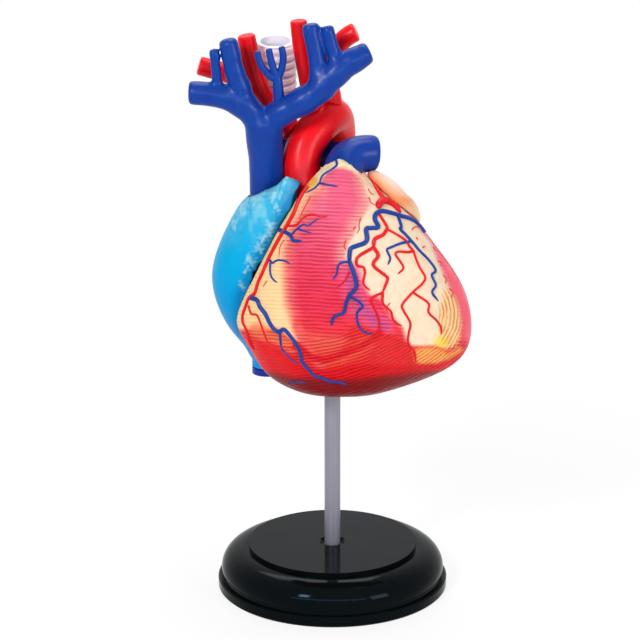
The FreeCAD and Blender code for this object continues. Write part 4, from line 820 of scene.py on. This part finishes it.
def vessel_layer():
    """Lays drawn lines on a wall, looking along Way, and gives each a round body of its own width."""
    tree = bpy.data.node_groups.new("vessel_layer", "GeometryNodeTree")
    ports = (("Lines", "Geometry"), ("Wall", "Object"), ("Way", "Vector"), ("Spacing", "Float"),
             ("Lift", "Float"), ("Sides", "Int"), ("Paint", "Material"))
    for label, kind in ports:
        tree.interface.new_socket(label, in_out="INPUT", socket_type="NodeSocket" + kind)
    tree.interface.new_socket("Vessels", in_out="OUTPUT", socket_type="NodeSocketGeometry")
    web = Web(tree)
    given = tree.nodes.new("NodeGroupInput")
    port = {label: Wire(tree, given.outputs[label]) for label, kind in ports}
    lines = web.node("GeometryNodeMeshToCurve", {}, {"Mesh": port["Lines"]})
    lines = web.node("GeometryNodeResampleCurve", {"mode": "LENGTH"},
                     {"Curve": lines, "Length": port["Spacing"]})
    wall = web.node("GeometryNodeObjectInfo", {}, {"Object": port["Wall"]}, "Geometry")
    width = web.node("GeometryNodeInputNamedAttribute", {"data_type": "FLOAT"}, {"Name": "width"},
                     "Attribute")
    touch = web.node("GeometryNodeRaycast", {}, {"Target Geometry": wall, "Ray Direction": port["Way"]},
                     "Hit Position")
    normal = Wire(tree, touch.socket.node.outputs["Hit Normal"])
    lift = web.node("ShaderNodeVectorMath", {"operation": "SCALE"},
                    {0: normal, "Scale": width * port["Lift"]})
    seat = web.vectors("ADD", touch, lift)
    lines = web.node("GeometryNodeSetPosition", {}, {"Geometry": lines, "Position": seat})
    ring = web.node("GeometryNodeCurvePrimitiveCircle", {},
                    {"Resolution": port["Sides"], "Radius": 1.0}, "Curve")
    body = web.node("GeometryNodeCurveToMesh", {},
                    {"Curve": lines, "Profile Curve": ring, "Scale": width, "Fill Caps": True})
    body = web.node("GeometryNodeSetShadeSmooth", {}, {"Geometry": body})
    body = web.node("GeometryNodeRealizeInstances", {}, {"Geometry": body})
    body = web.node("GeometryNodeSetMaterial", {}, {"Geometry": body, "Material": port["Paint"]})
    tree.links.new(body.socket, tree.nodes.new("NodeGroupOutput").inputs[0])
    return tree


def eased(points, steps=6):
    """A smooth line through drawing points."""
    points = np.asarray(points, float)
    full = np.vstack([2 * points[0] - points[1], points, 2 * points[-1] - points[-2]])
    made = [points[0]]
    for a, b, c, d in zip(full[:-3], full[1:-2], full[2:-1], full[3:]):
        for t in np.linspace(0, 1, steps + 1)[1:]:
            made.append(0.5 * (2 * b + (c - a) * t + (2 * a - 5 * b + 4 * c - d) * t * t
                               + (3 * b - a - 3 * c + d) * t ** 3))
    return np.array(made)


def vessels(name, lines, paint, slot, sheet, wall, way, body):
    """One piece from many lines of (start width, end width, points), laid on a wall."""
    places, edges, widths = [], [], []
    for first, last, points in lines:
        line = eased(points)
        start = len(places)
        part = np.linspace(0, 1, len(line))
        tip = np.minimum(1.0, 0.45 + (1.0 - part) * len(points) * 1.2)
        places += [sheet(u, v) for u, v in line]
        widths += list((first + (last - first) * part) * 0.5 * tip)
        edges += [(start + i, start + i + 1) for i in range(len(line) - 1)]
    mesh = bpy.data.meshes.new(name)
    mesh.from_pydata(places, edges, [])
    keep(mesh, "width", np.array(widths) * MM)
    carrier = set_out(name + "_lines", mesh)
    laid = carrier.modifiers.new("laid", "NODES")
    laid.node_group = layer_tree
    chosen = {"Wall": wall, "Way": way, "Spacing": 0.55 * MM, "Lift": 0.15, "Sides": 8, "Paint": paint}
    for item in layer_tree.interface.items_tree:
        if item.name in chosen:
            laid[item.identifier] = chosen[item.name]
    return hang(name, plain_mesh(carrier), body, slot)


def front_sheet(u, v):
    return (HEART + Vector((u, 0, 0)) + FRONT_RISE * v - FRONT_WAY * 100.0) * MM


def back_sheet(u, v):
    return (HEART + Vector((u, 100.0, v))) * MM


layer_tree = vessel_layer()
BACK_WAY = Vector((0.0, -1.0, 0.0))
small_red = vessel_finish("small_artery_red", shade(222, 16, 28), shade(196, 20, 30), shade(238, 96, 96))
small_blue = vessel_finish("small_vein_blue", shade(22, 62, 146), shade(24, 48, 128), shade(64, 104, 172))
on_front = (front_sheet, front_wall, FRONT_WAY, "front")
on_back = (back_sheet, back_wall, BACK_WAY, "core")
vessels("front_coronary_arteries", RED_LINES, small_red, "vessel_red", *on_front)
vessels("front_cardiac_veins", BLUE_LINES, small_blue, "vessel_blue", *on_front)
hair_red = vessel_finish("hair_vessel_red", shade(214, 74, 62), shade(196, 60, 56), shade(232, 130, 100))
vessels("front_hair_vessels", HAIR_LINES, hair_red, "vessel_red", *on_front)

BACK_RED = [
    (1.6, 0.9, [(10.0, 58.0), (12.5, 50.0), (12.0, 45.0), (16.0, 38.0), (17.0, 33.0), (22.0, 26.0),
                (25.0, 22.0), (31.0, 16.0)]),
    (1.0, 0.7, [(12.4, 47.0), (20.0, 45.0), (25.0, 40.0), (31.0, 38.0)]),
    (1.0, 0.7, [(16.5, 36.0), (9.0, 32.0), (6.0, 26.0), (0.0, 22.0)])]
BACK_BLUE = [
    (1.7, 0.9, [(7.0, 58.0), (9.0, 50.0), (13.5, 42.0), (13.0, 37.0), (19.0, 29.0), (22.0, 23.0),
                (28.0, 16.0)]),
    (1.2, 0.7, [(11.0, 46.5), (4.0, 44.0), (0.0, 38.0), (-6.0, 36.0)]),
    (1.2, 0.7, [(17.0, 31.5), (26.0, 31.0), (30.0, 27.0), (36.0, 26.0)])]
vessels("back_coronary_arteries", BACK_RED, small_red, "vessel_red", *on_back)
vessels("back_cardiac_veins", BACK_BLUE, small_blue, "vessel_blue", *on_back)


# ---------------------------------------------------------------- studio
# White sweep under the stand that goes over into the white background and keeps a soft
# shadow; a key lamp high on the left front and weaker lamps round it. The long blue strip
# lamp stands for a window and only shows as a glint in gloss paint.
def looked_at(web):
    """1 for rays that show the background: straight to the camera, mirrored or let through."""
    seen = web.node("ShaderNodeLightPath", {}, {}, "Is Camera Ray")
    for kind in ("Is Glossy Ray", "Is Transmission Ray"):
        seen = seen.either(web.node("ShaderNodeLightPath", {}, {}, kind))
    return seen


floor_mesh = bpy.data.meshes.new("floor")
floor_mesh.from_pydata([(-6, -6, 0), (6, -6, 0), (6, 6, 0), (-6, 6, 0)], [], [(0, 1, 2, 3)])
floor = set_out("floor", floor_mesh)
sweep_material = bpy.data.materials.new("white_sweep")
sweep_material.use_nodes = True
sweep = Web(sweep_material.node_tree)
sweep.tree.nodes.clear()
sweep_place = sweep.node("ShaderNodeTexCoord", {}, {}, "Object")
away = sweep.node("ShaderNodeVectorMath", {"operation": "LENGTH"}, {0: sweep_place}, "Value")
paper = sweep.node("ShaderNodeBsdfDiffuse", {}, {"Color": shade(250, 250, 250)})
glow = sweep.node("ShaderNodeEmission", {}, {"Color": (1.0, 1.0, 1.0, 1.0), "Strength": 1.0})
lit_share = looked_at(sweep) * (0.80 + 0.20 * away.ramp(0.10, 0.28))
lit = sweep.node("ShaderNodeMixShader", {}, {0: lit_share, 1: paper, 2: glow})
sweep_end = sweep.tree.nodes.new("ShaderNodeOutputMaterial")
sweep.tree.links.new(lit.socket, sweep_end.inputs["Surface"])
floor_mesh.materials.append(sweep_material)

world = bpy.data.worlds.new("studio")
bpy.context.scene.world = world
world.use_nodes = True
sky = Web(world.node_tree)
sky.tree.nodes.clear()
ambient = sky.node("ShaderNodeBackground", {}, {"Color": (0.92, 0.95, 1.0, 1.0), "Strength": 0.40})
white = sky.node("ShaderNodeBackground", {}, {"Color": (1.0, 1.0, 1.0, 1.0), "Strength": 1.0})
sky_mixed = sky.node("ShaderNodeMixShader", {}, {0: looked_at(sky), 1: ambient, 2: white})
sky_end = sky.tree.nodes.new("ShaderNodeOutputWorld")
sky.tree.links.new(sky_mixed.socket, sky_end.inputs["Surface"])


def lamp(name, place, aim, size, power, colour=(1.0, 1.0, 1.0)):
    """A soft box that points at aim; all in metres and watts."""
    light = bpy.data.lights.new(name, "AREA")
    light.shape = "RECTANGLE"
    light.size, light.size_y = size
    light.energy = power
    light.color = colour
    holder = set_out(name, light)
    holder.location = place
    holder.rotation_euler = (Vector(aim) - Vector(place)).to_track_quat("-Z", "Y").to_euler()
    return holder


MIDDLE = (0.0, 0.0, 0.13)
lamp("key", (-0.50, -0.80, 0.75), MIDDLE, (0.18, 0.28), 7.0)
lamp("fill", (0.85, -0.75, 0.40), MIDDLE, (0.36, 0.36), 4.3, (1.0, 0.98, 0.96))
lamp("top", (0.10, 0.25, 1.05), MIDDLE, (0.50, 0.30), 3.3)
lamp("rear", (-0.10, 0.75, 0.95), MIDDLE, (0.60, 0.30), 2.5)
window = lamp("window", (-0.12, -1.50, 0.66), (0.0, 0.0, 0.02), (2.4, 0.12), 14.0, (0.42, 0.66, 1.0))
window.visible_diffuse = False

# ---------------------------------------------------------------- camera
# A long lens a little above the heart, looking down at the stand; its shift sets the stand
# right of the middle.
PITCH = math.radians(17.967)
camera_data = bpy.data.cameras.new("camera")
camera_data.lens = 166.68
camera_data.sensor_width = 36.0
camera_data.shift_x = -0.0194
camera = set_out("camera", camera_data)
camera.location = (0.0, -1.050, 0.446)
camera.rotation_euler = (math.radians(90.0) - PITCH, 0.0, 0.0)
bpy.context.scene.camera = camera
bpy.context.scene.view_settings.view_transform = "Standard"
